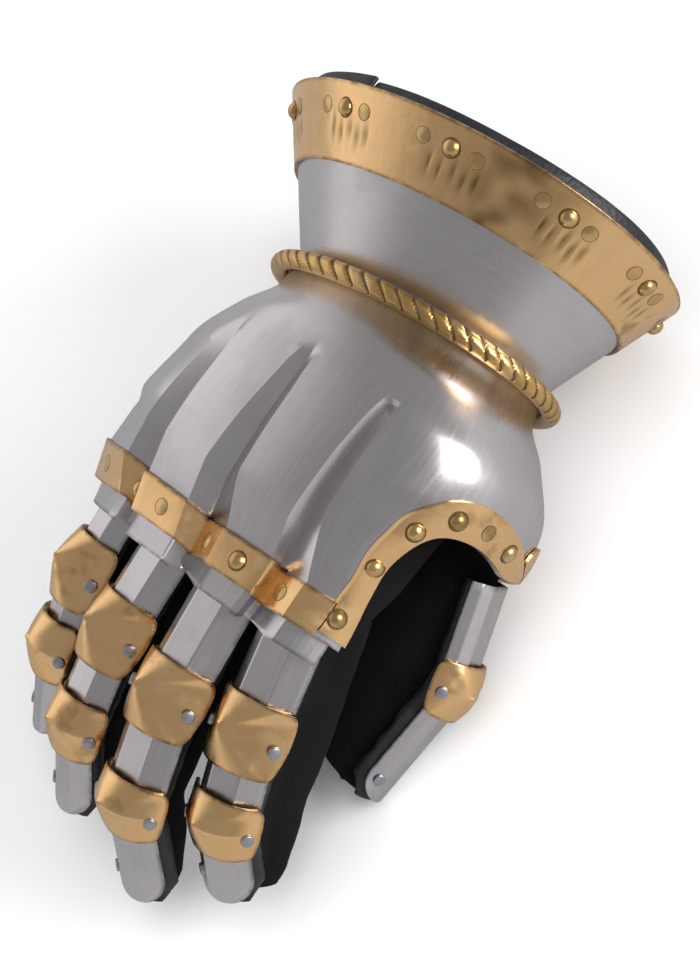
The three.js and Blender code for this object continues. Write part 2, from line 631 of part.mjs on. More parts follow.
function gloveParts() {
  const fingers = FINGERS.map((finger) => ({
    name: finger.name, frames: fingerFrames(finger), length: finger.length,
    size: { half: finger.half, deep: finger.deep, bulge: finger.bulge, start: -20 },
  }));
  fingers.push({
    name: 'thumb', frames: thumbFrames(THUMB), length: THUMB.length,
    size: { half: THUMB.half, deep: THUMB.deep, start: -12 },
  });
  const stalls = fingers.map(({ frames, length, size }) => stall(frames, length, size, 0));
  const hollows = fingers.map(({ frames, length, size }) => {
    return stall(frames, length, { ...size, start: size.start - 6 }, -LEATHER);
  });
  const hand = cut(gloveBody(0, 0), gloveBody(-LEATHER, 4), ...hollows);
  const grown = gloveBody(GAP, 0);
  const roll = loft(rollRings(4.1));
  return [['glove_hand', hand], ...fingers.map(({ name }, k) => {
    return [`glove_${name}`, cut(stalls[k], hollows[k], grown, roll)];
  })];
}

// ---- assembly -------------------------------------------------------------------------------------------------

const hand = new THREE.Group();

function add(name, geometry, look) {
  const mesh = new THREE.Mesh(geometry, new THREE.MeshStandardMaterial(look));
  mesh.name = name;
  hand.add(mesh);
}

add('cuff_plate', cuffPlate(), STEEL);
add('cuff_border', cuffBorder(), BRASS);
add('wrist_rope', ropeRing(), BRASS);
add('hand_plate', handPlate(), STEEL);
add('knuckle_border', knuckleBorder(), BRASS);
add('thumb_border', thumbBorder(), BRASS);
add('wrist_border', wristBorder(), BRASS);
add('wrist_edge_roll', edgeRoll(), STEEL);
add('knuckle_lame', knuckleLame(), STEEL);

for (const finger of FINGERS) {
  const [first, second, third] = fingerFrames(finger);
  const { name, half, length } = finger;
  add(`${name}_plate_1`, fingerPlate(first, -5, length[0] - JOINT_GAP, half), STEEL);
  add(`${name}_dome_1`, dome(first, second, half, 13.5, 2.4), BRASS);
  add(`${name}_plate_2`, fingerPlate(second, JOINT_GAP, length[1] - JOINT_GAP, half - 0.6), STEEL);
  add(`${name}_dome_2`, dome(second, third, half - 0.9, 12, 1.8), BRASS);
  add(`${name}_plate_3`, fingerPlate(third, JOINT_GAP, length[2], half - 1.2, true), STEEL);
  add(`${name}_strap`, strap([first, second, third], length, half), GLOVE);
}

const [thumbFirst, thumbSecond] = thumbFrames(THUMB);
add('thumb_plate_1', fingerPlate(thumbFirst, 7, THUMB.length[0] - JOINT_GAP, THUMB.half), STEEL);
add('thumb_dome_1', dome(thumbFirst, thumbSecond, THUMB.half, 11, 2), BRASS);
add('thumb_plate_2', fingerPlate(thumbSecond, JOINT_GAP, THUMB.length[1], THUMB.half - 0.6, true), STEEL);
add('thumb_strap', strap([thumbFirst, thumbSecond], THUMB.length, THUMB.half, 7), GLOVE);

add('glove_cuff', gloveCuff(), GLOVE);
for (const [name, geometry] of gloveParts()) add(name, geometry, GLOVE);

const group = new THREE.Group();
group.add(hand);
hand.rotation.set(rad(REST.pitch), rad(REST.roll), 0);
group.updateMatrixWorld(true);
const lying = new THREE.Box3().setFromObject(group, true);
const middle = lying.getCenter(vec(0, 0, 0));
hand.position.set(-middle.x, -middle.y, -lying.min.z); // the origin is under the middle, on the surface
group.updateMatrixWorld(true);

export default group;
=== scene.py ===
# %% [markdown]
# # An armoured gauntlet
#
# The object is the right-hand gauntlet of a pair: a flared steel cuff, a hand plate with three flutes, small
# plates and brass domes along the fingers and thumb, and a black leather glove inside. It lies palm down.
# The fixed solids come first. Every piece below is a finer version of one of them, in the same place.

# %% Load the fixed solids
import json
import math

import bmesh
import bpy
from mathutils import Matrix, Vector, noise

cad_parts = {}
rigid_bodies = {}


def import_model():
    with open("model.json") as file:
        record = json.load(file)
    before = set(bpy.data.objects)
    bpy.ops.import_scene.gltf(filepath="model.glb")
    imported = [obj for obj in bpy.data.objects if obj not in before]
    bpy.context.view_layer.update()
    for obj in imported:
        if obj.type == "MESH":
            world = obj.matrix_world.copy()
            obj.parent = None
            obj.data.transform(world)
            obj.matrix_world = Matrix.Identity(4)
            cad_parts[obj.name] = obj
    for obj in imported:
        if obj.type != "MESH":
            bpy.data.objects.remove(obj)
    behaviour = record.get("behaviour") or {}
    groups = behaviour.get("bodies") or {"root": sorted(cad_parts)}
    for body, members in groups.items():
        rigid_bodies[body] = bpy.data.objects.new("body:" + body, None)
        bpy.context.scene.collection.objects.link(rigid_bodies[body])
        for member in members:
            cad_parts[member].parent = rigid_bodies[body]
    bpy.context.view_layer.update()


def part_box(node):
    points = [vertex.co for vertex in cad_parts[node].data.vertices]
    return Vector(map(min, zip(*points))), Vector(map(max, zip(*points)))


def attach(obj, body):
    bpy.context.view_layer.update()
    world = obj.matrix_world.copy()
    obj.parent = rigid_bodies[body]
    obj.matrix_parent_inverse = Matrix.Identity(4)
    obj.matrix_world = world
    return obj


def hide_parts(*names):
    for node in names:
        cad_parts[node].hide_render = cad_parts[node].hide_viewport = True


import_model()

# %% [markdown]
# ## Where the hand is
#
# An armourer measures along the hand, so the sizes below are in millimetres in a frame of the hand: the
# middle of the wrist ring is its origin, +Y runs to the cuff, +X is the thumb's side and +Z the back of
# the hand. The ring is round about that origin, so the middle of its box gives the place. The hand lies
# rolled a little towards the little finger, and one rotation says so.

# %% The frame of the hand
MM = 0.001
LIES_PITCHED, LIES_ROLLED = 0.04, -8.55  # degrees
ring_low, ring_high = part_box("wrist_rope")
WRIST = (ring_low + ring_high) / 2
LYING = (Matrix.Rotation(math.radians(LIES_PITCHED), 3, "X")
         @ Matrix.Rotation(math.radians(LIES_ROLLED), 3, "Y"))


def place(point):
    """A point of the hand, in millimetres, put where the solids are, in metres."""
    return WRIST + LYING @ (Vector(point) * MM)


# %% [markdown]
# ## Tables of the shape
#
# Sheet metal is drawn by its sections. Each row below is one section or one corner, with its columns named.
# A smooth curve runs through the rows, so that the metal has no corner where a row happens to be.

# %% Sizes of the plates
SHEET, LEATHER, GAP = 1.3, 1.7, 0.3
WRIST_HALF, WRIST_TALL = 54, 43.5
NECK_FROM, NECK_TO = -3, 4
RIM = dict(y=53.5, half=81.5, tall=66.5, rise=8.6, tilt=-2)
CUFF_BAND, LINING_PAST_RIM = 25, 7
ROPE = dict(half=58.1, tall=47.6, radius=3.5)
BAND, LAME_SHOWS = 13.5, 8
FACET_LONG = 15  # slope from each knuckle down to the brass band

HAND_SECTIONS = [
    dict(reach=-6, middle=0, half=54, top=43.5, wide=0, palm=-43.5, power=2.0),
    dict(reach=4, middle=0, half=54, top=43.5, wide=0, palm=-43.5, power=2.0),
    dict(reach=20, middle=1.5, half=65, top=49, wide=0, palm=-47, power=2.2),
    dict(reach=38, middle=2, half=74.5, top=51.5, wide=-2, palm=-52, power=2.45),
    dict(reach=55, middle=-1, half=76, top=51, wide=-4, palm=-56, power=2.6),
    dict(reach=62, middle=-3.5, half=75, top=50.2, wide=-4, palm=-56, power=2.65),
    dict(reach=70, middle=-6, half=72, top=49, wide=2, palm=-50, power=2.7),
    dict(reach=86, middle=-10, half=67, top=46, wide=5, palm=-40, power=2.75),
    dict(reach=98, middle=-10, half=65, top=39.5, wide=5, palm=-38, power=2.8),
    dict(reach=122, middle=-10, half=63, top=36, wide=4, palm=-36, power=2.8),
]
FLUTES = [
    dict(from_reach=23, from_x=-30, to_reach=98, to_x=-41, abrupt=3, starts=0.12),
    dict(from_reach=26, from_x=5, to_reach=101, to_x=-8, abrupt=9, starts=0.22),
    dict(from_reach=32, from_x=41, to_reach=104, to_x=27, abrupt=22, starts=0.42),
]
KNUCKLE_EDGE = [
    dict(col=-2.3, reach=89), dict(col=-1.6, reach=98), dict(col=-0.6, reach=104.5),
    dict(col=0.5, reach=110), dict(col=1.4, reach=112.5), dict(col=2.2, reach=112),
]
THUMB_CUT = [(-135, 12), (-108, 14.5), (-90, 19), (-77, 23), (-68, 23), (-62, 18.5), (-59, 8), (-59, -6),
             (-60, -18), (-58, -28), (-56, -36), (-56, -46)]
THUMB_BAND_TOP = [(-135, 26), (-108, 25), (-90, 27), (-76, 31), (-63, 32), (-52, 27), (-46.5, 16), (-46, 3),
                  (-48, -10), (-52, -20), (-57, -32.4)]
PALM_CUT = [(-135, -6), (-100, -6), (-76, -9), (-66, -18), (-60, -32), (-56, -46)]
WRIST_BAND = [(-43, -31), (-44, -26), (-46.5, -22.5), (-49.5, -21.5), (-52.3, -22.6), (-56.2, -32.4)]

FINGERS = [
    dict(name="index", base=(34.6, -119.6, 22.2), yaw=-3.5, roll=8.8, bend=(17.5, 11.8, 27.9), half=14.1,
         length=(34.4, 36.1, 34.3), deep=(36, 45, 42, 28), bulge=9),
    dict(name="middle", base=(5.4, -117.2, 29.2), yaw=-5.6, roll=1.7, bend=(9.8, 16.8, 33.3), half=14.5,
         length=(38.6, 44.1, 45.3), deep=(32, 34, 31, 24), bulge=0),
    dict(name="ring", base=(-26.2, -112, 30.2), yaw=-9, roll=-2.8, bend=(10.3, 13.6, 26.5), half=12.8,
         length=(32.9, 38.5, 38.9), deep=(30, 32, 29, 22), bulge=0),
    dict(name="little", base=(-57.8, -105.2, 25), yaw=-9.9, roll=-15, bend=(11.7, 14.3, 20.8), half=11.6,
         length=(25, 31.8, 38), deep=(28, 29, 27, 21), bulge=0),
]
THUMB = dict(name="thumb", start=(63.2, -53, -33.5), ways=((0.03, -0.95, -0.32), (-0.345, -0.91, -0.24)),
             back=(0.95, 0, -0.22), half=12.5, length=(47, 51), deep=(50, 52, 38), bulge=0)
GLOVE_SECTIONS = [
    dict(reach=3.4, middle=0, half=49.8, top=39.3, palm=-39.3),
    dict(reach=22, middle=0, half=52, top=39, palm=-37),
    dict(reach=50, middle=-4, half=58, top=39, palm=-30),
    dict(reach=80, middle=-8, half=58, top=32, palm=-24),
    dict(reach=100, middle=-10, half=56, top=25, palm=-17),
    dict(reach=106, middle=-10, half=50, top=20, palm=-12),
]

# %% Small helpers for numbers and tables
rad = math.radians


def mix(a, b, share):
    return a + (b - a) * share


def limit(value, low=0.0, high=1.0):
    return min(high, max(low, value))


def ease(value):
    value = limit(value)
    return value * value * (3 - 2 * value)


def curve(rows, key, at, column):
    """Value of a column at a place, on a smooth curve that never swings past its rows."""
    places = [row[key] for row in rows]
    values = [row[column] for row in rows]
    at = limit(at, places[0], places[-1])
    k = max(i for i in range(len(rows) - 1) if places[i] <= at)
    slopes = [(values[i + 1] - values[i]) / (places[i + 1] - places[i]) for i in range(len(rows) - 1)]

    def tangent(i):
        a, b = slopes[max(0, i - 1)], slopes[min(len(slopes) - 1, i)]
        return 0 if a * b <= 0 else 2 * a * b / (a + b)

    width = places[k + 1] - places[k]
    t = (at - places[k]) / width
    return ((2 * t**3 - 3 * t**2 + 1) * values[k] + (t**3 - 2 * t**2 + t) * width * tangent(k)
            + (3 * t**2 - 2 * t**3) * values[k + 1] + (t**3 - t**2) * width * tangent(k + 1))


def rounded_line(corners, steps=6):
    """Points of a smooth line through a few corners."""
    points = []
    for k in range(len(corners) - 1):
        a, b = Vector(corners[max(0, k - 1)]), Vector(corners[k])
        c, d = Vector(corners[k + 1]), Vector(corners[min(len(corners) - 1, k + 2)])
        for i in range(steps):
            t = i / steps
            points.append(0.5 * (2 * b + (c - a) * t + (2 * a - 5 * b + 4 * c - d) * t**2
                                 + (3 * b - a - 3 * c + d) * t**3))
    return points + [Vector(corners[-1])]


# %% [markdown]
# ## Finishes
#
# Four things are seen here: satin steel, brass that has been hammered and stained, smooth black leather and
# black suede. Effects that several of them share are node groups: soft blotches, fine brushing and a grain.
# Each material keeps its own shader and gives the groups its own values.


# %% Shader node groups
def node(tree, kind, **settings):
    made = tree.nodes.new(kind)
    for name, value in settings.items():
        setattr(made, name, value)
    return made


def join(tree, *pairs):
    for start, end in pairs:
        tree.links.new(start, end)


def group(name, inputs, outputs):
    tree = bpy.data.node_groups.new(name, "ShaderNodeTree")
    for socket, kind, value in inputs:
        made = tree.interface.new_socket(socket, in_out="INPUT", socket_type=kind)
        if value is not None:
            made.default_value = value
    for socket, kind in outputs:
        tree.interface.new_socket(socket, in_out="OUTPUT", socket_type=kind)
    return tree, tree.nodes.new("NodeGroupInput"), tree.nodes.new("NodeGroupOutput")


def blotch_group():
    """Soft patches: 0 outside them, 1 inside."""
    tree, start, end = group("blotches", [
        ("Vector", "NodeSocketVector", None), ("Scale", "NodeSocketFloat", 60.0),
        ("From", "NodeSocketFloat", 0.5), ("To", "NodeSocketFloat", 0.65)], [("Mask", "NodeSocketFloat")])
    cloud = node(tree, "ShaderNodeTexNoise")
    cloud.inputs["Detail"].default_value = 5
    cloud.inputs["Roughness"].default_value = 0.6
    steps = node(tree, "ShaderNodeMapRange", interpolation_type="SMOOTHSTEP")
    join(tree, (start.outputs["Vector"], cloud.inputs["Vector"]), (start.outputs["Scale"], cloud.inputs["Scale"]),
         (cloud.outputs["Fac"], steps.inputs["Value"]), (start.outputs["From"], steps.inputs["From Min"]),
         (start.outputs["To"], steps.inputs["From Max"]), (steps.outputs["Result"], end.inputs["Mask"]))
    return tree


def brushing_group():
    """Fine scratches along one way: the vector is stretched before the noise reads it."""
    tree, start, end = group("brushing", [
        ("Vector", "NodeSocketVector", None), ("Stretch", "NodeSocketVector", (1, 1, 1)),
        ("Scale", "NodeSocketFloat", 400.0)], [("Height", "NodeSocketFloat")])
    longer = node(tree, "ShaderNodeVectorMath", operation="MULTIPLY")
    grain = node(tree, "ShaderNodeTexNoise")
    grain.inputs["Detail"].default_value = 3
    join(tree, (start.outputs["Vector"], longer.inputs[0]), (start.outputs["Stretch"], longer.inputs[1]),
         (longer.outputs["Vector"], grain.inputs["Vector"]), (start.outputs["Scale"], grain.inputs["Scale"]),
         (grain.outputs["Fac"], end.inputs["Height"]))
    return tree


def grain_group():
    """Pebbled leather: cells with creases between them."""
    tree, start, end = group("leather_grain", [
        ("Vector", "NodeSocketVector", None), ("Scale", "NodeSocketFloat", 900.0),
        ("Softness", "NodeSocketFloat", 0.5)], [("Height", "NodeSocketFloat")])
    cells = node(tree, "ShaderNodeTexVoronoi", feature="SMOOTH_F1")
    pores = node(tree, "ShaderNodeTexNoise")
    pores.inputs["Detail"].default_value = 6
    both = node(tree, "ShaderNodeMix")
    join(tree, (start.outputs["Vector"], cells.inputs["Vector"]), (start.outputs["Scale"], cells.inputs["Scale"]),
         (start.outputs["Vector"], pores.inputs["Vector"]), (start.outputs["Scale"], pores.inputs["Scale"]),
         (start.outputs["Softness"], both.inputs["Factor"]), (cells.outputs["Distance"], both.inputs["A"]),
         (pores.outputs["Fac"], both.inputs["B"]), (both.outputs["Result"], end.inputs["Height"]))
    return tree


BLOTCHES, BRUSHING, GRAIN = blotch_group(), brushing_group(), grain_group()


# %% Helpers that every material uses
def material(name, **sockets):
    made = bpy.data.materials.new(name)
    made.use_nodes = True
    shader = made.node_tree.nodes["Principled BSDF"]
    for socket, value in sockets.items():
        shader.inputs[socket.replace("_", " ")].default_value = value
    return made, made.node_tree, shader


def use(tree, kind, vector, **sockets):
    made = node(tree, "ShaderNodeGroup")
    made.node_tree = kind
    tree.links.new(vector, made.inputs["Vector"])
    for socket, value in sockets.items():
        made.inputs[socket].default_value = value
    return made.outputs[0]


def coordinates(tree, which="Object"):
    return node(tree, "ShaderNodeTexCoord").outputs[which]


def blend_colours(tree, share, base, other):
    """A colour between two, each a colour or a socket."""
    made = node(tree, "ShaderNodeMix", data_type="RGBA")
    tree.links.new(share, made.inputs["Factor"])
    for socket, value in (("A", base), ("B", other)):
        target = [s for s in made.inputs if s.name == socket and s.type == "RGBA"][0]
        if isinstance(value, tuple):
            target.default_value = (*value, 1)
        else:
            tree.links.new(value, target)
    return [s for s in made.outputs if s.type == "RGBA"][0]


def ranged(tree, value, low, high, from_low=0.0, from_high=1.0):
    made = node(tree, "ShaderNodeMapRange", interpolation_type="SMOOTHSTEP")
    tree.links.new(value, made.inputs["Value"])
    for socket, number in (("From Min", from_low), ("From Max", from_high), ("To Min", low), ("To Max", high)):
        made.inputs[socket].default_value = number
    return made.outputs["Result"]


def sum_of(tree, first, second, operation="ADD"):
    made = node(tree, "ShaderNodeMath", operation=operation)
    for socket, value in ((0, first), (1, second)):
        if isinstance(value, (int, float)):
            made.inputs[socket].default_value = value
        else:
            tree.links.new(value, made.inputs[socket])
    return made.outputs[0]


def painted(tree, name):
    return node(tree, "ShaderNodeAttribute", attribute_name=name).outputs["Fac"]


def edge_shade_and_tarnish(tree, solid, share):
    """Painted shade with some tarnish at cut edges: a dark brown in patches near each edge."""
    patches = use(tree, BLOTCHES, solid, Scale=220.0, From=0.3, To=0.7)
    near = ranged(tree, painted(tree, "edge_shade_mask"), 0.0, share, 0.25, 1.0)
    return sum_of(tree, near, ranged(tree, patches, 0.35, 1.0), "MULTIPLY")


def bump(tree, shader, height, strength, distance):
    made = node(tree, "ShaderNodeBump")
    made.inputs["Strength"].default_value = strength
    made.inputs["Distance"].default_value = distance
    tree.links.new(height, made.inputs["Height"])
    tree.links.new(made.outputs["Normal"], shader.inputs["Normal"])


# %% [markdown]
# ### Steel
#
# The plates are satin: a soft sheen with fine scratches, a little darker where polish has gathered. The
# scratches follow the sheet, so they are read from the piece's own UV map, which is in metres: U runs
# across the sheet and V along it.


# %% Steel
def steel_material(name, tint, roughness, stretch, scratch):
    made, tree, shader = material(name, Metallic=1.0)
    uv, solid = coordinates(tree, "UV"), coordinates(tree)
    scratches = use(tree, BRUSHING, uv, Stretch=stretch, Scale=900.0)
    smudges = use(tree, BLOTCHES, solid, Scale=38.0, From=0.42, To=0.74)
    worn = blend_colours(tree, ranged(tree, smudges, 0.0, 0.34), tint, tuple(c * 0.72 for c in tint))
    fine = blend_colours(tree, ranged(tree, scratches, 0.0, 0.16, 0.35, 0.7), worn, (0.82, 0.82, 0.86))
    # painted shade with some tarnish: the steel turns dark brown near its cut edges
    edged = blend_colours(tree, edge_shade_and_tarnish(tree, solid, 0.75), fine, (0.10, 0.085, 0.075))
    tree.links.new(edged, shader.inputs["Base Color"])
    rough = sum_of(tree, ranged(tree, smudges, roughness, roughness + 0.07), ranged(tree, scratches, -0.03, 0.05))
    tree.links.new(rough, shader.inputs["Roughness"])
    bump(tree, shader, scratches, scratch, 0.00006)
    return made


STEEL_TINT = (0.625, 0.60, 0.61)
hand_steel = steel_material("steel_hand", STEEL_TINT, 0.24, (1, 0.06, 1), 0.25)
cuff_steel = steel_material("steel_brushed_cuff", STEEL_TINT, 0.3, (0.05, 1, 1), 0.5)
finger_steel = steel_material("steel_fingers", STEEL_TINT, 0.26, (1, 0.05, 1), 0.3)
rivet_steel = steel_material("steel_rivets", (0.42, 0.43, 0.47), 0.34, (1, 1, 1), 0.3)


# %% [markdown]
# ### Brass
#
# The brass is warm and bright where it has been rubbed and olive brown where flux and fingers have stained
# it. Its cut edges are darkened a reddish brown: painted shade, with some tarnish.


# %% Brass
BRASS_TINT = (0.96, 0.60, 0.28)
# olive brown of the real stains; the same colour is painted shade in the rope's cuts
STAIN_AND_CUT_SHADE = (0.20, 0.125, 0.045)


def brass_material(name, stain_from, stain_to, stain_share, roughness=0.22, tint=BRASS_TINT):
    made, tree, shader = material(name, Metallic=1.0)
    solid = coordinates(tree)
    stains = use(tree, BLOTCHES, solid, Scale=46.0, From=stain_from, To=stain_to)
    hazy = use(tree, BLOTCHES, solid, Scale=150.0, From=0.38, To=0.72)
    warm = blend_colours(tree, ranged(tree, hazy, 0.0, 0.45), tint, (0.90, 0.66, 0.36))
    # the painted value is a stain on the cuff's band and painted shade in the rope's cuts
    spots = sum_of(tree, ranged(tree, stains, 0.0, stain_share), painted(tree, "stain_and_shade"), "MAXIMUM")
    stained_and_shaded = blend_colours(tree, spots, warm, STAIN_AND_CUT_SHADE)
    # painted shade with some tarnish: the brass turns reddish brown near its cut edges
    edged = blend_colours(tree, edge_shade_and_tarnish(tree, solid, 0.8), stained_and_shaded, (0.16, 0.07, 0.025))
    tree.links.new(edged, shader.inputs["Base Color"])
    rough = sum_of(tree, ranged(tree, hazy, roughness, roughness + 0.1), ranged(tree, stains, 0.0, 0.1))
    tree.links.new(rough, shader.inputs["Roughness"])
    ripples = use(tree, BLOTCHES, solid, Scale=90.0, From=0.2, To=0.8)
    bump(tree, shader, ripples, 0.22, 0.0004)
    return made


band_brass = brass_material("brass_bands", 0.56, 0.72, 0.45)
dome_brass = brass_material("brass_domes", 0.56, 0.7, 0.36)
cuff_brass = brass_material("brass_cuff_band", 0.6, 0.72, 0.5)
rope_brass = brass_material("brass_rope", 0.5, 0.75, 0.45, 0.27, (0.72, 0.44, 0.16))
rivet_brass = brass_material("brass_rivets", 0.45, 0.7, 0.7, 0.24, (0.70, 0.46, 0.19))


# %% Painted shade that outlines the rivets and darkens the rope's cuts
def crease_shade_material():
    made, tree, shader = material("painted_shade_in_creases", Roughness=0.6)
    shade_mottle = use(tree, BLOTCHES, coordinates(tree), Scale=300.0, From=0.3, To=0.7)
    # painted shade: two dark browns in patches
    tree.links.new(blend_colours(tree, shade_mottle, (0.055, 0.03, 0.012), (0.10, 0.06, 0.025)), shader.inputs["Base Color"])
    return made


crease_shade = crease_shade_material()


# %% [markdown]
# ### Leather
#
# The glove's fingers and palm are black suede: matt, with a nap. The cuff's lining and the strips under
# the plates are smooth leather with a pebbled grain and a dull shine.


# %% Leather
def suede_material():
    made, tree, shader = material("suede_black", Roughness=0.95)
    shader.inputs["Sheen Weight"].default_value = 0.02
    shader.inputs["Specular IOR Level"].default_value = 0.25
    shader.inputs["Sheen Roughness"].default_value = 0.6
    shader.inputs["Sheen Tint"].default_value = (0.3, 0.3, 0.33, 1)
    solid = coordinates(tree)
    nap = use(tree, GRAIN, solid, Scale=2600.0, Softness=0.9)
    rubbed = use(tree, BLOTCHES, solid, Scale=70.0, From=0.4, To=0.75)
    tone = blend_colours(tree, ranged(tree, rubbed, 0.0, 1.0), (0.002, 0.0019, 0.002), (0.0045, 0.0042, 0.0045))
    tree.links.new(blend_colours(tree, ranged(tree, nap, 0.0, 0.6, 0.4, 0.7), tone, (0.009, 0.0085, 0.009)),
                   shader.inputs["Base Color"])
    bump(tree, shader, nap, 0.6, 0.0004)
    return made


def smooth_leather(name, tone, roughness, scale, strength):
    made, tree, shader = material(name)
    solid = coordinates(tree)
    grain = use(tree, GRAIN, solid, Scale=scale, Softness=0.35)
    dull = use(tree, BLOTCHES, solid, Scale=80.0, From=0.35, To=0.7)
    tree.links.new(blend_colours(tree, dull, tone, tuple(c * 2.1 for c in tone)), shader.inputs["Base Color"])
    tree.links.new(ranged(tree, grain, roughness + 0.1, roughness), shader.inputs["Roughness"])
    bump(tree, shader, grain, strength, 0.0006)
    return made


suede = suede_material()
lining_leather = smooth_leather("leather_lining", (0.009, 0.009, 0.011), 0.42, 620.0, 0.7)
strap_leather = smooth_leather("leather_straps", (0.010, 0.010, 0.012), 0.38, 800.0, 0.45)

# %% [markdown]
# ## Making a piece of sheet
#
# Every plate is a flat grid that is bent into place, as the armourer bends it: `create_grid` makes it and
# each of its corners moves to where the shape says. The Solidify modifier gives it the thickness of the
# metal and a small Bevel breaks the cut edges.


# %% Sheet helpers
EDGE_SHADE_WIDE = 2.0  # width of the painted edge shade and tarnish, from a cut edge inwards


def sheet(shape, across, along, size=(1, 1), ring=False, paint=None):
    """A grid bent to shape(u, v), with u and v from 0 to 1, and a UV map that is size metres large.

    It also keeps two values for the finish: how near a cut edge is, which paints shade and tarnish at the edges, and
    paint(u, v), which is a stain on the cuff's band and painted shade in the rope's cuts."""
    mesh = bmesh.new()
    bmesh.ops.create_grid(mesh, x_segments=across, y_segments=along, size=0.5)
    uv = mesh.loops.layers.uv.verify()
    edge_mask, stain_and_shade = (mesh.verts.layers.float.new(name) for name in ("edge_shade_mask", "stain_and_shade"))
    for vertex in mesh.verts:
        u, v = limit(vertex.co.x + 0.5), limit(vertex.co.y + 0.5)
        inside = min(v, 1 - v) * size[1] if ring else min(min(v, 1 - v) * size[1], min(u, 1 - u) * size[0])
        vertex[edge_mask] = max(0.0, 1 - inside / (EDGE_SHADE_WIDE * MM))
        vertex[stain_and_shade] = paint(u, v) if paint else 0.0
    for face in mesh.faces:
        for loop in face.loops:
            loop[uv].uv = ((loop.vert.co.x + 0.5) * size[0], (loop.vert.co.y + 0.5) * size[1])
    for vertex in mesh.verts:
        vertex.co = place(shape(limit(vertex.co.x + 0.5), limit(vertex.co.y + 0.5)))
    if ring:
        bmesh.ops.remove_doubles(mesh, verts=mesh.verts, dist=1e-6)
    return mesh


def face_outwards(mesh, about=None):
    """Turns an open sheet so that its faces look away from its middle, or from a point."""
    middle = about or sum((v.co for v in mesh.verts), Vector()) / len(mesh.verts)
    mesh.normal_update()
    if sum((f.calc_center_median() - middle).dot(f.normal) * f.calc_area() for f in mesh.faces) < 0:
        bmesh.ops.reverse_faces(mesh, faces=mesh.faces)


def finished(mesh, name, looks, crease=30):
    """The mesh as an object that is smooth but for edges sharper than crease, in degrees."""
    for face in mesh.faces:
        face.smooth = True
    for edge in mesh.edges:
        edge.smooth = len(edge.link_faces) < 2 or edge.calc_face_angle() < rad(crease)
    data = bpy.data.meshes.new(name)
    mesh.to_mesh(data)
    mesh.free()
    for look in looks if isinstance(looks, list) else [looks]:
        data.materials.append(look)
    made = bpy.data.objects.new(name, data)
    bpy.context.scene.collection.objects.link(made)
    return made


def thicken(piece, thickness, bevel=0.18):
    wall = piece.modifiers.new("wall", "SOLIDIFY")
    wall.thickness, wall.offset, wall.use_even_offset = thickness * MM, -1, False
    if bevel:
        edge = piece.modifiers.new("edge", "BEVEL")
        edge.width, edge.segments, edge.limit_method, edge.angle_limit = bevel * MM, 2, "ANGLE", rad(50)
    return piece


def apply_modifiers(piece):
    """Makes what the modifiers show the piece's own mesh."""
    graph = bpy.context.evaluated_depsgraph_get()
    shown = bpy.data.meshes.new_from_object(piece.evaluated_get(graph))
    piece.modifiers.clear()
    piece.data = shown


def belongs(piece, slot, *nodes):
    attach(piece, "root")
    if nodes:
        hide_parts(*nodes)
    return piece


def plate(mesh, name, look, slot, solid, thickness=SHEET, bevel=0.18, crease=30, about=None):
    """Turns a sheet outwards, gives it its thickness and puts it in the place of its solid."""
    face_outwards(mesh, about)
    return belongs(thicken(finished(mesh, name, look, crease), thickness, bevel), slot, solid)


# %% [markdown]
# ## Rivets
#
# Three kinds hold it together: brass heads that stand up as low domes, brass heads hammered level with the
# sheet so that only a ring shows, and flat steel heads on the finger domes. Each is a profile turned with
# `spin`, made once and copied to its places.


# %% Rivet heads
def turned(profile, steps=20):
    """A head turned from a profile of (radius, height) in millimetres, up along Z."""
    mesh = bmesh.new()
    corners = [mesh.verts.new((radius * MM, 0, height * MM)) for radius, height in profile]
    edges = [mesh.edges.new(pair) for pair in zip(corners, corners[1:])]
    bmesh.ops.spin(mesh, geom=corners + edges, cent=(0, 0, 0), axis=(0, 0, 1), angle=2 * math.pi,
                   steps=steps, use_merge=True)
    bmesh.ops.remove_doubles(mesh, verts=mesh.verts, dist=1e-7)
    bmesh.ops.recalc_face_normals(mesh, faces=mesh.faces)
    return mesh


def head_mesh(name, profile, shaded_from):
    """A turned head whose faces outside a radius take the second material, a painted shade round its rim."""
    mesh = turned(profile)
    if sum(f.normal.z for f in mesh.faces) < 0:
        bmesh.ops.reverse_faces(mesh, faces=mesh.faces)
    for face in mesh.faces:
        face.smooth = True
        face.material_index = 1 if face.calc_center_median().xy.length > shaded_from * MM else 0
    data = bpy.data.meshes.new(name)
    mesh.to_mesh(data)
    mesh.free()
    return data


DOME_HEAD = head_mesh("dome_head", [(0, 2.35), (0.8, 2.27), (1.6, 2.0), (2.3, 1.55), (2.85, 0.95), (3.15, 0.3),
                                    (3.2, 0.0), (3.25, 0.03), (3.7, 0.03), (3.75, -0.5)], 3.2)
FLUSH_HEAD = head_mesh("flush_head", [(0, 0.42), (0.9, 0.38), (1.7, 0.24), (2.4, 0.1), (2.72, 0.06), (2.78, 0.02),
                                      (3.02, 0.02), (3.1, -0.4)], 2.74)
FLAT_HEAD = head_mesh("flat_head", [(0, 0.95), (1.9, 0.9), (2.2, 0.75), (2.35, 0.45), (2.35, -0.5)], 9)


def rivets(name, looks, seats):
    """One piece made of a head at each seat: (head, point, normal) in the frame of the hand."""
    mesh = bmesh.new()
    for head, point, normal in seats:
        before = set(mesh.verts)
        mesh.from_mesh(head)
        turn = (LYING @ Vector(normal)).to_track_quat("Z", "Y").to_matrix().to_4x4()
        bmesh.ops.transform(mesh, matrix=Matrix.Translation(place(point)) @ turn,
                            verts=[v for v in mesh.verts if v not in before])
    print(name, "has", len(seats), "heads")
    return finished(mesh, name, looks, crease=40)


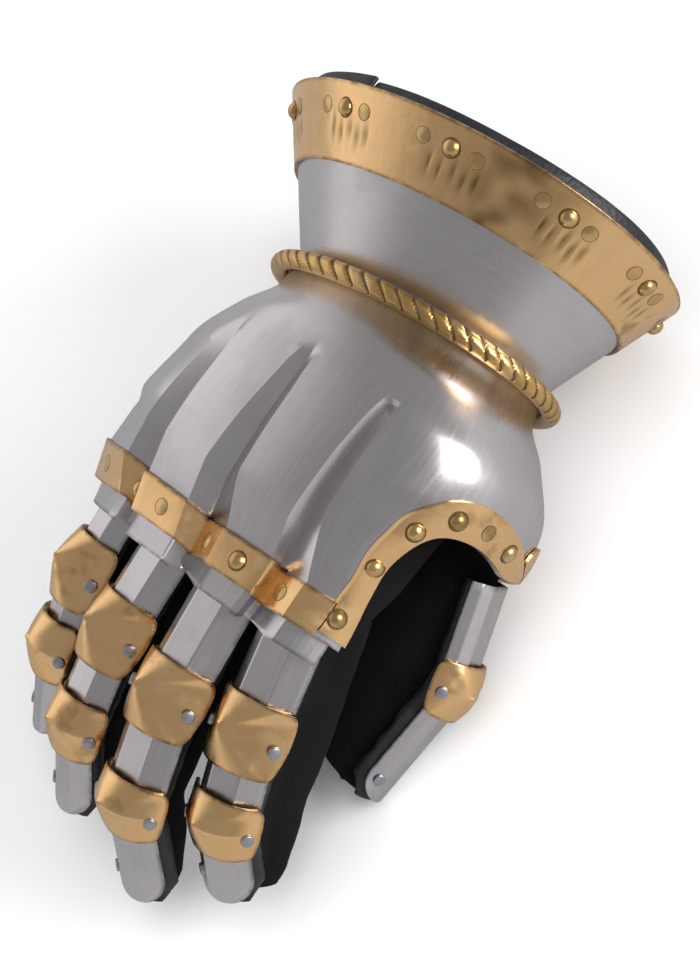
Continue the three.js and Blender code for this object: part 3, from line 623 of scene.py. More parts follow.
# %% [markdown]
# ## The cuff
#
# A cone of steel that flares from the wrist to an oval mouth. On the real one it is a sheet rolled up and
# riveted; here the grid is rolled round the oval and its two ends are merged.

# %% Cuff shapes
CUFF_SLANT = math.hypot(RIM["y"] - NECK_TO, RIM["half"] - WRIST_HALF)


def cuff_point(angle, along, offset=0.0):
    """Outer face of the cuff: along is 0 at the neck and 1 at the mouth."""
    half = mix(WRIST_HALF - SHEET - 2 * GAP, RIM["half"], along) + offset
    tall = mix(WRIST_TALL - SHEET - 2 * GAP, RIM["tall"], along) + offset
    lean = math.tan(rad(RIM["tilt"])) * tall * math.cos(angle) * along
    return Vector((half * math.sin(angle), mix(NECK_TO, RIM["y"], along) - lean,
                   tall * math.cos(angle) + RIM["rise"] * along))


def cuff_normal(angle, along):
    round_ = cuff_point(angle + 0.01, along) - cuff_point(angle - 0.01, along)
    out = cuff_point(angle, along + 0.01) - cuff_point(angle, along - 0.01)
    return round_.cross(out).normalized()


def cuff_plate_shape(u, v):
    neck = 0.12  # share of the rows that the short neck takes
    if v >= neck:
        return cuff_point(2 * math.pi * u, (v - neck) / (1 - neck))
    point = cuff_point(2 * math.pi * u, 0)
    point.y = mix(NECK_FROM, NECK_TO, v / neck)
    return point


mesh = sheet(cuff_plate_shape, 160, 16, (0.43, 0.064), ring=True)
plate(mesh, "cuff", cuff_steel, "steel_sheet", "cuff_plate")

# %% [markdown]
# The brass band round the mouth stands a hair above the steel. Its rivets come in threes: a raised head
# with a level one on each side.


# %% Brass band of the cuff and its rivets
RIVET_GROUPS = [rad(angle) for angle in range(18, 378, 36)]
# Hammer marks: turn from each group of rivets, and distance from the mouth
DENTS = [(-0.09, 14.5), (-0.03, 15.5), (0.04, 14.0), (0.1, 16.0), (0.16, 14.5)]
DENT_DEEP, DENT_HALF_LONG, DENT_HALF_WIDE = 0.5, 4.2, 1.3
STAINED_AT, STAIN_HALF = rad(36), 0.2  # an old stain between the second and third groups


def dent(angle, from_mouth):
    """Depth share of the hammer marks below each group of rivets."""
    deepest = 0.0
    for group_at in RIVET_GROUPS:
        for turn, middle in DENTS:
            round_ = math.remainder(angle - group_at - turn, 2 * math.pi) * RIM["half"] / DENT_HALF_WIDE
            along = (from_mouth - middle) / DENT_HALF_LONG
            deepest = max(deepest, math.exp(-(round_ * round_ + along * along) * 1.6))
    return deepest


def from_mouth(v):
    return (1 - v) * CUFF_BAND


def cuff_band_shape(u, v):
    start, angle = 1 - CUFF_BAND / CUFF_SLANT, 2 * math.pi * u
    out = GAP + SHEET - DENT_DEEP * dent(angle, from_mouth(v))
    return cuff_point(angle, mix(start, 1 + 0.8 / CUFF_SLANT, v), out)


def cuff_stain(u, v):
    away = math.remainder(2 * math.pi * u - STAINED_AT, 2 * math.pi) / STAIN_HALF
    cloud = 0.5 + noise.noise(Vector((u * 60, v * 4, 0.7)))
    return limit(0.75 * dent(2 * math.pi * u, from_mouth(v)) + 0.8 * math.exp(-away * away) * limit(cloud))


mesh = sheet(cuff_band_shape, 420, 18, (0.5, CUFF_BAND * MM), ring=True, paint=cuff_stain)
plate(mesh, "cuff_band", cuff_brass, "brass_sheet", "cuff_border")

RIVETS_IN = 7.5  # from the mouth to the line of rivets
seats = []
for group_at in RIVET_GROUPS:
    for turn, head in ((0, DOME_HEAD), (-8.5, FLUSH_HEAD), (7.5, FLUSH_HEAD)):
        angle, along = group_at + rad(turn), 1 - RIVETS_IN / CUFF_SLANT
        seats.append((head, cuff_point(angle, along, GAP + SHEET), cuff_normal(angle, along)))
belongs(rivets("cuff_rivets", [rivet_brass, crease_shade], seats), "brass_sheet")

# %% [markdown]
# ## The rope ring
#
# The ring over the joint of cuff and hand plate is a round brass rod with slanting cuts filed across it,
# which read as a rope. The rod is a grid closed both ways, and each cut is pressed in as a narrow lens
# and darkened with painted shade.

# %% Rope ring
CUTS = 52
CUT_DEEP, CUT_HALF, CUT_REACH, CUT_SLANT = 1.0, 0.55, rad(72), 0.5
CUT_BRASS_SHADE, CUT_DARK_SHADE = 0.4, 0.36  # half widths of the painted shade in a cut: the stain colour on the brass, and the darker shade material
ROPE_LONG, ROPE_AROUND = 0.334, 0.022  # metres, round the wrist and round the rod


def from_cut(u, v):
    """Distance along the rod to the nearest cut, in millimetres, and the depth there as a share."""
    turn = 2 * math.pi * v - math.pi
    at = u * CUTS + CUT_SLANT * math.sin(turn)
    return (at - round(at)) * ROPE_LONG / MM / CUTS, max(0.0, 1 - (turn / CUT_REACH) ** 2) ** 0.6


def rope_shape(u, v):
    angle, turn = 2 * math.pi * u, 2 * math.pi * v - math.pi
    out = Vector((math.sin(angle) / ROPE["half"], 0, math.cos(angle) / ROPE["tall"])).normalized()
    middle = Vector((ROPE["half"] * math.sin(angle), 0, ROPE["tall"] * math.cos(angle)))
    away, lens = from_cut(u, v)
    radius = ROPE["radius"] - CUT_DEEP * lens * math.exp(-((away / CUT_HALF) ** 2))
    return middle + out * radius * math.cos(turn) + Vector((0, radius * math.sin(turn), 0))


# painted shade: the brass in each cut takes the dark stain colour
def rope_cut_shade(u, v):
    away, lens = from_cut(u, v)
    return 1.0 if abs(away) < CUT_BRASS_SHADE and lens > 0.1 else 0.0


mesh = sheet(rope_shape, CUTS * 24, 20, (ROPE_LONG, ROPE_AROUND), ring=True, paint=rope_cut_shade)
bmesh.ops.recalc_face_normals(mesh, faces=mesh.faces)
# painted shade: the faces in each cut take the dark shade material
for face in mesh.faces:
    middle = sum((loop[mesh.loops.layers.uv.active].uv for loop in face.loops), Vector((0, 0))) / 4
    away, lens = from_cut(middle.x / ROPE_LONG, middle.y / ROPE_AROUND)
    face.material_index = 1 if abs(away) < CUT_DARK_SHADE and lens > 0.15 else 0
belongs(finished(mesh, "rope_ring", [rope_brass, crease_shade], crease=70), "brass_cast", "wrist_rope")

# %% [markdown]
# ## The hand plate
#
# One sheet wraps the hand. Three flutes are sunk between the knuckles: each starts as a narrow crease near
# the wrist and opens towards the fingers, and every knuckle ends in a flat slope down to the brass. Columns
# from -2 to 2 cross the back, one unit for each knuckle, and 2 to 6 go round the palm side.

# %% Surface of the hand
FLUTE_DEEP = 7.0
FLANK = 0.25  # share of a ridge's grid that each flank takes
section_memory = {}


def hand_section(reach):
    key = round(reach, 3)
    if key not in section_memory:
        section_memory[key] = {column: curve(HAND_SECTIONS, "reach", reach, column)
                               for column in ("middle", "half", "top", "wide", "palm", "power")}
    return section_memory[key]


def flute_line(k, reach):
    row = FLUTES[k]
    along = (reach - row["from_reach"]) / (row["to_reach"] - row["from_reach"])
    return mix(row["from_x"], row["to_x"], limit(along, 0, 1.2)), limit(along)


def ridge_angles(reach):
    section = hand_section(reach)
    angles = [-math.pi / 2]
    for k in range(3):
        side = (flute_line(k, reach)[0] - section["middle"]) / section["half"]
        angles.append(math.copysign(math.asin(abs(side) ** (section["power"] / 2)), side))
    return angles + [math.pi / 2]


def flank_shares(ridge, reach):
    """Widths of the flank after the valley on a ridge's left and before the one on its right."""
    past = limit((reach - 76) / 24)  # the facets by the knuckles change them over this length
    after, before = FLANK, FLANK
    if ridge > 0:
        along = flute_line(ridge - 1, reach)[1]
        after = mix(mix(0.05, 0.15, along), 0.27, past)
    if ridge < 3:
        along = flute_line(ridge, reach)[1]
        before = mix(mix(0.07, 0.16, along**0.8), 0.05, past * past)
    return after, before


def flute_press(k, reach):
    row, along = FLUTES[k], flute_line(k, reach)[1]
    return FLUTE_DEEP * ease(along * row["abrupt"]) * mix(row["starts"], 1.0, along**0.8)


def ridge_point(ridge, share, reach):
    """A point of the back: share runs 0 to 1 over a ridge, its flanks taking FLANK at each end."""
    section, lines = hand_section(reach), ridge_angles(reach)
    after, before = flank_shares(ridge, reach)
    drop = 0
    if share < FLANK:
        part = after * share / FLANK
        drop = flute_press(ridge - 1, reach) * (1 - share / FLANK) if ridge > 0 else 0
    elif share <= 1 - FLANK:
        part = mix(after, 1 - before, (share - FLANK) / (1 - 2 * FLANK))
    else:
        part = mix(1 - before, 1, (share - 1 + FLANK) / FLANK)
        drop = flute_press(ridge, reach) * (share - 1 + FLANK) / FLANK if ridge < 3 else 0
    return section_point(section, mix(lines[ridge], lines[ridge + 1], part), drop)


def section_point(section, angle, drop):
    sine, cosine = math.sin(angle), math.cos(angle)
    tall = section["top"] - section["wide"] if cosine > 0 else section["wide"] - section["palm"]
    x = section["middle"] + section["half"] * math.copysign(abs(sine) ** (2 / section["power"]), sine)
    z = section["wide"] + tall * math.copysign(abs(cosine) ** (2 / section["power"]), cosine)
    return Vector((x - math.copysign(0.15 * drop, sine), 0, z - drop))


def hand_raw(col, reach):
    turn = (col + 2) % 8
    if turn > 4:
        point = section_point(hand_section(reach), math.pi / 2 + (turn - 4) / 4 * math.pi, 0)
    else:
        ridge = min(3, int(turn))
        share = turn - ridge
        point = ridge_point(ridge, share, reach)
        straight = ease((reach - knuckle_edge(col) + BAND + FACET_LONG + 9) / 9) * (0.75 if ridge < 3 else 0)
        if FLANK < share < 1 - FLANK and straight > 0:
            ends = ridge_point(ridge, FLANK, reach), ridge_point(ridge, 1 - FLANK, reach)
            point = point.lerp(ends[0].lerp(ends[1], (share - FLANK) / (1 - 2 * FLANK)), straight)
    point.y = -reach
    return point


def knuckle_edge(col):
    return curve(KNUCKLE_EDGE, "col", col - 8 if col > 4 else col, "reach")


def hand_point(col, reach):
    """The surface with its knuckle slopes: straight from the knuckle to the band and along the band."""
    edge = knuckle_edge(col)
    knuckle, band = edge - BAND - FACET_LONG, edge - BAND
    flat = 1 - ease((col - 1.3) / 0.5) if col < 2 else 0
    if reach <= knuckle or reach >= edge or flat == 0:
        return hand_raw(col, reach)
    ends = (knuckle, band) if reach < band else (band, edge)
    share = (reach - ends[0]) / (ends[1] - ends[0])
    straight = hand_raw(col, ends[0]).lerp(hand_raw(col, ends[1]), share)
    return straight if flat == 1 else hand_raw(col, reach).lerp(straight, flat)


def hand_normal(col, reach, step=0.03):
    across = hand_point(col + step, reach) - hand_point(col - step, reach)
    along = hand_point(col, reach + 0.5) - hand_point(col, reach - 0.5)
    return along.cross(across).normalized()


def hand_skin(col, reach, offset):
    return hand_point(col, reach) + hand_normal(col, reach) * offset


def hand_reach(col, v):
    """Rows run straight across the wrist and follow the knuckles further on."""
    edge = knuckle_edge(col)
    stops = [(0, -3.5), (0.62, edge - BAND - FACET_LONG), (0.82, edge - BAND), (1, edge)]
    for (v0, r0), (v1, r1) in zip(stops, stops[1:]):
        if v <= v1 + 1e-9:
            return mix(r0, r1, (v - v0) / (v1 - v0))
    return edge


def hand_shell(offset, across=192, along=75):
    def shape(u, v):
        col = mix(-2, 6, u)
        return hand_skin(col, hand_reach(col, v), offset)

    mesh = sheet(shape, across, along, (0.4, 0.115), ring=True)
    face_outwards(mesh)
    return mesh


# %% [markdown]
# The palm is left open for the glove. The opening is drawn from the side, as the cutter scribes it on the
# metal, and carried across the hand as a block that is taken away with a Boolean.


# %% Cutting the openings
def block(name, outline, from_x, to_x):
    """A flat outline in Y and Z carried across X, as a solid."""
    mesh = bmesh.new()
    corners = [mesh.verts.new((from_x, y, z)) for y, z in outline]
    face = mesh.faces.new(corners)
    carried = bmesh.ops.extrude_face_region(mesh, geom=[face])["geom"]
    bmesh.ops.translate(mesh, verts=[v for v in carried if isinstance(v, bmesh.types.BMVert)],
                        vec=(to_x - from_x, 0, 0))
    bmesh.ops.recalc_face_normals(mesh, faces=mesh.faces)
    for vertex in mesh.verts:
        vertex.co = place(vertex.co)
    made = finished(mesh, name, [])
    made.hide_render = True
    return made


def under(corners):
    line = rounded_line(corners)
    return [tuple(p) for p in line] + [(corners[-1][0], -95), (-140, -95), (-140, corners[0][1])]


def carve(piece, tool, operation="DIFFERENCE"):
    cutter = piece.modifiers.new("cut", "BOOLEAN")
    cutter.operation, cutter.solver, cutter.object = operation, "EXACT", tool
    apply_modifiers(piece)


def resharpen(piece, crease):
    mesh = bmesh.new()
    mesh.from_mesh(piece.data)
    for face in mesh.faces:
        face.smooth = True
    for edge in mesh.edges:
        edge.smooth = len(edge.link_faces) == 2 and edge.calc_face_angle() < rad(crease)
    mesh.to_mesh(piece.data)
    mesh.free()


FOLD = 17  # degrees: sharper bends of the hand plate read as folds
thumb_tool = block("thumb_tool", under(THUMB_CUT), 1, 130)
palm_tool = block("palm_tool", under(PALM_CUT), -130, 1.5)

hand_plate = finished(hand_shell(0), "hand_plate_fluted", hand_steel, crease=FOLD)
thicken(hand_plate, SHEET, bevel=0)
apply_modifiers(hand_plate)
for tool in (thumb_tool, palm_tool):
    carve(hand_plate, tool)
resharpen(hand_plate, FOLD)
belongs(hand_plate, "steel_sheet", "hand_plate")
print("hand plate faces:", len(hand_plate.data.polygons))

# %% [markdown]
# ## Brass along the knuckles
#
# A strip follows the edge over the knuckles and folds down into each valley. It is the same surface, a hair
# further out.


# %% Knuckle band
def strip(first, last, from_edge, to_edge, offset):
    """Shape of a strip that follows the knuckle edge between two columns."""
    def shape(u, v):
        col = mix(first, last, u)
        return hand_skin(col, knuckle_edge(col) + mix(from_edge, to_edge, v), offset)
    return shape


mesh = sheet(strip(-2.5, 2, -BAND, 0, GAP + SHEET), 144, 8, (0.14, BAND * MM))
face_outwards(mesh, place((-10, -95, 0)))
knuckle_band = thicken(finished(mesh, "knuckle_band", band_brass, crease=14), SHEET)
apply_modifiers(knuckle_band)
band_end = [(y + 0.45, z + 0.45) for y, z in THUMB_BAND_TOP]
band_tool = block("band_tool", under(band_end), 20, 130)
carve(knuckle_band, band_tool)
resharpen(knuckle_band, 16)
belongs(knuckle_band, "brass_sheet", "knuckle_border")

KNUCKLE_RIVETS = [(-2.25, DOME_HEAD), (-1.5, FLUSH_HEAD), (-0.88, DOME_HEAD), (-0.45, FLUSH_HEAD),
                  (0.12, FLUSH_HEAD), (0.5, DOME_HEAD), (1.12, FLUSH_HEAD)]


def on_hand(head, col, reach, offset=GAP + SHEET):
    return head, hand_skin(col, reach, offset), hand_normal(col, reach)


seats = [on_hand(head, col, knuckle_edge(col) - BAND / 2) for col, head in KNUCKLE_RIVETS]
belongs(rivets("knuckle_rivets", [rivet_brass, crease_shade], seats), "brass_sheet")

# %% [markdown]
# ## Brass round the thumb's opening
#
# This band arches over the thumb. It is what two outlines leave of the surface, so it is cut from a second,
# slightly larger shell.


# %% Thumb band and wrist band
def outer_shell(name):
    made = finished(hand_shell(GAP + SHEET, 128, 48), name, band_brass)
    thicken(made, SHEET, bevel=0)
    apply_modifiers(made)
    return made


def ring_outline(upper, lower):
    return [tuple(p) for p in rounded_line(upper)] + [tuple(p) for p in reversed(rounded_line(lower))]


thumb_band = outer_shell("thumb_band")
carve(thumb_band, block("thumb_band_tool", ring_outline(THUMB_BAND_TOP, THUMB_CUT[:-2]), 10, 130), "INTERSECT")
carve(thumb_band, block("past_tool", [(-140, -90), (-140, 60), (-110.5, 60), (-109.2, -90)], 0, 140))
resharpen(thumb_band, 35)
belongs(thumb_band, "brass_sheet", "thumb_border")

wrist_band = outer_shell("wrist_band")
wrist_outline = [tuple(p) for p in rounded_line(WRIST_BAND)] + [(-56, -95), (-43, -95)]
carve(wrist_band, block("wrist_band_tool", wrist_outline, -130, 130), "INTERSECT")
for tool in (thumb_tool, palm_tool):
    carve(wrist_band, tool)
resharpen(wrist_band, 35)
belongs(wrist_band, "brass_sheet", "wrist_border")


def beside(reach, height, low=1.0, high=3.6):
    """Column on the thumb's side where the surface has that height."""
    for _ in range(40):
        middle = (low + high) / 2
        low, high = (middle, high) if hand_point(middle, reach).z > height else (low, middle)
    return low


THUMB_RIVETS = [(103.5, 22, DOME_HEAD), (82.5, 24.6, DOME_HEAD), (66, 26.5, DOME_HEAD), (55.5, 20.5, DOME_HEAD),
                (52.5, 8, FLUSH_HEAD), (53, -7.5, DOME_HEAD)]
seats = [on_hand(head, beside(reach, height), reach) for reach, height, head in THUMB_RIVETS]
seats += [on_hand(DOME_HEAD, 2.98, 49.5), on_hand(DOME_HEAD, 5.02, 49.5)]
seats.append(on_hand(DOME_HEAD, 2.9, 31, 0))
belongs(rivets("thumb_rivets", [rivet_brass, crease_shade], seats), "brass_sheet")

# %% [markdown]
# ## Under the knuckles and under the wrist
#
# A narrow lame of steel shows past the band, scalloped at each valley. Under the wrist the edge of the
# hand plate is rolled into a tube, whose open end shows beside the thumb.

# %% Knuckle lame
NOTCH_DEEP, NOTCH_HALF = 2.6, 0.16


def lame_shape(u, v):
    col = mix(-2, 1.75, u)
    notch = NOTCH_DEEP * max(0, 1 - abs(col - round(col)) / NOTCH_HALF) if -1.4 < col < 1.4 else 0
    reach = knuckle_edge(col) + mix(-6, LAME_SHOWS + 0.6 - notch, v)
    return hand_skin(col, reach, -SHEET - GAP - 0.05)


mesh = sheet(lame_shape, 120, 8, (0.12, 0.014))
plate(mesh, "knuckle_lame_steel", finger_steel, "steel_sheet", "knuckle_lame", bevel=0.15, crease=14,
      about=place((-10, -105, 0)))


# %% Rolled edge
def roll_shape(u, v):
    col, turn = mix(3.12, 4.9, u), 2 * math.pi * v
    middle = hand_skin(col, 60.4, -2.1)
    return middle + hand_normal(col, 58) * 3.7 * math.cos(turn) + Vector((0, 3.7 * math.sin(turn), 0))


mesh = sheet(roll_shape, 40, 20, (0.11, 0.023), ring=True)
bmesh.ops.recalc_face_normals(mesh, faces=mesh.faces)
plate(mesh, "rolled_edge", hand_steel, "steel_sheet", "wrist_edge_roll", thickness=1.4, bevel=0.2,
      about=place((0, -60, 0)))

# %% [markdown]
# ## Fingers
#
# Each finger has two or three steel plates with a brass dome over each joint. The plates are not round:
# they are folded along the finger into flat facets, so that each shows a light side and a dark side. Every
# length of a finger has a frame of its own: X across, -Y to the fingertip, Z out of its back.


# %% Frames of the fingers
def finger_frames(finger):
    angle, origin, frames = 0, Vector(finger["base"]), []
    for bend, length in zip(finger["bend"], finger["length"]):
        angle += bend
        turn = (Matrix.Rotation(rad(finger["yaw"]), 4, "Z") @ Matrix.Rotation(rad(angle), 4, "X")
                @ Matrix.Rotation(rad(finger["roll"]), 4, "Y"))
        frames.append(Matrix.Translation(origin) @ turn)
        origin = origin + turn.to_3x3() @ Vector((0, -length, 0))
    return frames


def thumb_frames(thumb):
    origin, frames = Vector(thumb["start"]), []
    for way, length in zip(thumb["ways"], thumb["length"]):
        y = -Vector(way).normalized()
        z = Vector(thumb["back"])
        z = (z - y * z.dot(y)).normalized()
        axes = Matrix((y.cross(z), y, z)).transposed().to_4x4()
        frames.append(Matrix.Translation(origin) @ axes)
        origin = origin - y * length
    return frames


ARCH_TALL = 0.85  # height of an arch over a finger as a share of its half width


def arch(place_in, along, half, lift, angle):
    """A point of an arch over a finger: angle 0 is the line along its back."""
    return place_in @ Vector((half * math.sin(angle), -along, ARCH_TALL * half * (math.cos(angle) - 1) + lift))


def arch_normal(place_in, angle):
    return place_in.to_3x3() @ Vector((ARCH_TALL * math.sin(angle), 0, math.cos(angle))).normalized()


def bent_frame(first, second, reach_each, share):
    """Frame part of the way round a joint, for share -1 to 1."""
    joint = second.translation
    base = first if share < 0 else second
    along = base.to_3x3() @ Vector((0, -1, 0)) * share * reach_each
    turn = first.to_quaternion().slerp(second.to_quaternion(), ease((share + 1) / 2))
    return Matrix.Translation(joint + along) @ turn.to_matrix().to_4x4()


# %% Steel plates of the fingers
OPEN, OPEN_TIP = rad(74), rad(66)
JOINT_GAP = 3.4
ROUND_END = 0.85  # length of a round fingertip as a share of its half width
FACETS = [-1, -0.68, -0.36, 0.34, 1]  # folds of a plate, as shares of its opening


def folded(u):
    """Angle share of a place across a plate, straight between two folds: gives fold, next fold and share."""
    at = u * (len(FACETS) - 1)
    k = min(len(FACETS) - 2, int(at))
    return FACETS[k], FACETS[k + 1], at - k


def plate_point(place_in, along, half, u, opening):
    a, b, share = folded(u)
    return arch(place_in, along, half, 0, a * opening).lerp(arch(place_in, along, half, 0, b * opening), share)


def finger_plate(name, place_in, start, end, half, round_end):
    def shape(u, v):
        if not round_end:
            return plate_point(place_in, mix(start, end, v), half, u, OPEN)
        round_long = ROUND_END * half
        bend = end - round_long
        along = mix(start, bend, v / 0.5) if v < 0.5 else bend + round_long * math.sin((v - 0.5) * math.pi)
        past = limit((along - bend) / round_long)
        return plate_point(place_in, along, half, u, OPEN_TIP * math.sqrt(max(0.004, 1 - past**2)))

    mesh = sheet(shape, 16, 26 if round_end else 10, (half * 2.2 * MM, (end - start) * MM))
    face_outwards(mesh, place(place_in @ Vector((0, -(start + end) / 2, -half))))
    made = thicken(finished(mesh, name, finger_steel, crease=9), SHEET, 0)
    fold = made.modifiers.new("fold", "BEVEL")
    fold.width, fold.segments, fold.limit_method, fold.angle_limit = 0.35 * MM, 2, "ANGLE", rad(10)
    return made


# %% [markdown]
# ## Brass domes
#
# The domes over the first joints are hammered into low pyramids with flats and soft ridges; those nearer
# the fingertips are rounder. Their corners are cut round.


# %% Domes
DOME_RIVET_AT = rad(58)
DOME_OPEN, DOME_OPEN_FRONT = rad(80), rad(68)  # half angle round the finger, and at the edge nearer the tip
DOME_ABOVE, DOME_LIFT = 1.9, 2  # added to the finger's half width, and raised above the plates


def dome(name, first, second, half, reach_each, peak, pointed, apex=(-0.2, -0.05)):
    lift = first.to_3x3() @ Vector((0, 0, 1))

    def skin(a, b):
        """The rounded dome, a and b from -1 to 1 across and along."""
        corner = 1 - 0.14 * abs(b) ** 9
        opening = (DOME_OPEN if b < 0 else mix(DOME_OPEN, DOME_OPEN_FRONT, b)) * corner
        rise = 1 - abs(b) ** 1.5
        point = arch(bent_frame(first, second, reach_each, b), 0, half + DOME_ABOVE + 0.8 * rise, DOME_LIFT, a * opening)
        return point + lift * peak * (1 - a * a) * (1 - b * b)

    top = skin(*apex) + lift * peak * 0.5

    def shape(u, v):
        a, b = 2 * u - 1, 2 * v - 1
        out = max(abs(a), abs(b))
        if out == 0:
            return top
        rim = skin(a / out, b / out)
        shifted = skin(a + apex[0] * (1 - out), b + apex[1] * (1 - out))
        return shifted.lerp(top.lerp(rim, out), pointed)

    mesh = sheet(shape, 28, 28, (half * 2.6 * MM, reach_each * 2 * MM))
    face_outwards(mesh, place(second.translation - lift * half))
    made = thicken(finished(mesh, name, dome_brass, crease=9 + 30 * (1 - pointed)), SHEET, 0.2)
    place_in = bent_frame(first, second, reach_each, 0.1)
    return made, [(FLAT_HEAD, arch(place_in, 0, half + 2.5, 2.0, turn), arch_normal(place_in, turn))
                  for turn in (-DOME_RIVET_AT, DOME_RIVET_AT)]


# %% [markdown]
# ## Straps and glove fingers
#
# A strip of leather runs under the plates and carries them. Its edges are cut roughly by hand and show on
# both sides. Under it is the finger of the glove, a closed bag of suede that is folded at the joints.


# %% Straps
def strap(name, frames, length, half, start):
    last = len(frames) - 1
    stops = [(frames[0], start, 0, 86)]
    for k in range(1, len(frames)):
        stops.append((bent_frame(frames[k - 1], frames[k], 10, 0), 0, 0.6 * k, 96))
    stops.append((frames[last], length[last] - 6, 0.7 * last, 92))
    stops.append((frames[last], length[last] + 1, 0.7 * last, 50))
    run = sum(length)

    def shape(u, v):
        at = v * (len(stops) - 1)
        k = min(len(stops) - 2, int(at))
        points = []
        for place_in, along, shrink, opening in stops[k:k + 2]:
            rough = 1 + 0.05 * noise.noise(Vector((v * run * 0.3, u * 3, half)))
            angle = (2 * u - 1) * rad(opening) * mix(1, rough, abs(2 * u - 1) ** 6)
            points.append(arch(place_in, along, half - SHEET - 0.4 - shrink, -SHEET - 0.4 - shrink, angle))
        return points[0].lerp(points[1], at - k)

    mesh = sheet(shape, 18, 72, (half * 2.4 * MM, run * MM))
    face_outwards(mesh, place(frames[last].translation - frames[last].to_3x3() @ Vector((0, 0, half))))
    return thicken(finished(mesh, name, strap_leather, crease=50), 1.2, 0)


# %% Glove fingers
STALL_RINGS = 46
BAG_CLOSES = 0.9  # share of the rows after which a fingertip closes


def stall_rings(finger, start):
    """Sections along a glove finger: frame, place, half width, depth and distance under the plates."""
    frames, half, deep, length = (finger[key] for key in ("frames", "half", "deep", "length"))
    last = len(frames) - 1
    rows = [(frames[0], start, half, deep[0], 3.4)]
    for k in range(len(frames)):
        wide = half * (1 - 0.05 * k)
        if k > 0:
            rows.append((bent_frame(frames[k - 1], frames[k], 10, 0), 0, wide, deep[k], 3.4 + 0.7 * k))
        if k == last:
            rows.append((frames[k], length[k] * 0.55, wide, mix(deep[k], deep[k + 1], 0.55), 3.4 + 0.8 * k))
    tip = length[last] + 1.5
    rows.append((frames[last], tip - 5, half * 0.86, deep[-1] * 0.9, 5.2))
    rows.append((frames[last], tip, half * 0.68, deep[-1] * 0.7, 6))
    return rows


def ring_point(row, turn, grow, bulge):
    place_in, along, wide, depth, drop = row
    low = max(0, -math.cos(turn))
    return place_in @ Vector(((wide - 4.2 + grow) * math.sin(turn) + bulge * low, -along,
                              ((depth - drop) / 2 + grow) * math.cos(turn) - (depth + drop) / 2))


def glove_finger(name, finger, start, grow=0.0, rumple=0.7):
    rows = stall_rings(finger, start)

    def shape(u, v):
        turn, at = 2 * math.pi * u, limit(v / BAG_CLOSES) * (len(rows) - 1)
        k = min(len(rows) - 2, int(at))
        a, b, c, d = (ring_point(rows[int(limit(i, 0, len(rows) - 1))], turn, grow, finger["bulge"])
                      for i in (k - 1, k, k + 1, k + 2))
        t = at - k
        point = b.lerp(c, t) + (mix((c - a) / 2, (d - b) / 2, t) - (c - b)) * t * (1 - t) * 0.5
        if v > BAG_CLOSES:
            closed = (v - BAG_CLOSES) / (1 - BAG_CLOSES)
            tip, along, _, depth, under_plates = rows[-1]
            centre = tip @ Vector((0, -along - 2.4 * closed, -(depth + under_plates) / 2))
            point = point.lerp(centre, ease(closed))
        folds = noise.noise(Vector((point.x * 0.05, point.y * 0.16, point.z * 0.1)))
        return point + (rows[k][0].to_3x3() @ Vector((0, 0, 1))) * folds * rumple

    mesh = sheet(shape, 36, STALL_RINGS, (0.09, 0.11), ring=True)
    bmesh.ops.remove_doubles(mesh, verts=mesh.verts, dist=1e-5)
    face_outwards(mesh)
    return finished(mesh, name, suede, crease=80)


# %% Build the fingers and the thumb
TIP_RIVET_AT, TIP_RIVET_IN = rad(-40), 9
NARROWER, DOME_NARROWER = 0.6, 0.9  # from one plate or dome to the next
FINGER_DOMES = [dict(suffix="brass_1", reach_each=13.5, peak=3.4, pointed=0.72),
                dict(suffix="brass_2", reach_each=12, peak=2.4, pointed=0.25)]
THUMB_DOMES = [dict(suffix="brass", reach_each=11, peak=2.4, pointed=0.35)]

digits = [dict(finger, frames=finger_frames(finger), domes=FINGER_DOMES, plate_from=-5, strip_from=-1.5,
               bag_from=-20) for finger in FINGERS]
digits.append(dict(THUMB, frames=thumb_frames(THUMB), domes=THUMB_DOMES, plate_from=7, strip_from=7, bag_from=-12))
dome_seats, tip_seats = [], []
for digit in digits:
    frames, name, half, length = (digit[key] for key in ("frames", "name", "half", "length"))
    last = len(frames) - 1
    for k, place_in in enumerate(frames):
        start = digit["plate_from"] if k == 0 else JOINT_GAP
        end = length[k] if k == last else length[k] - JOINT_GAP
        made = finger_plate(f"{name}_steel_{k + 1}", place_in, start, end, half - NARROWER * k, k == last)
        belongs(made, "steel_sheet", f"{name}_plate_{k + 1}")
    for k, row in enumerate(digit["domes"]):
        made, seats = dome(f"{name}_{row['suffix']}", frames[k], frames[k + 1], half - DOME_NARROWER * k,
                           row["reach_each"], row["peak"], row["pointed"])
        belongs(made, "brass_sheet", f"{name}_dome_{k + 1}")
        dome_seats += seats
    point = arch(frames[last], length[last] - TIP_RIVET_IN, half - NARROWER * last, -0.1, TIP_RIVET_AT)
    tip_seats.append((FLAT_HEAD, point, arch_normal(frames[last], TIP_RIVET_AT)))
    belongs(strap(f"{name}_strip", frames, length, half, digit["strip_from"]), "strap_leather", f"{name}_strap")
belongs(rivets("finger_rivets", [rivet_steel, crease_shade], dome_seats + tip_seats), "steel_sheet")

# %% [markdown]
# ## The glove
#
# The body of the glove is a bag through a few oval sections, cut open where each finger joins it. The
# cuff's lining is smooth leather that stands past the mouth and leans in, with a lapped seam.


# %% Glove body and fingers
GLOVE_FROM, GLOVE_TO = 3.4, 106
BODY_CLOSES = 0.88  # share of the rows after which the body closes


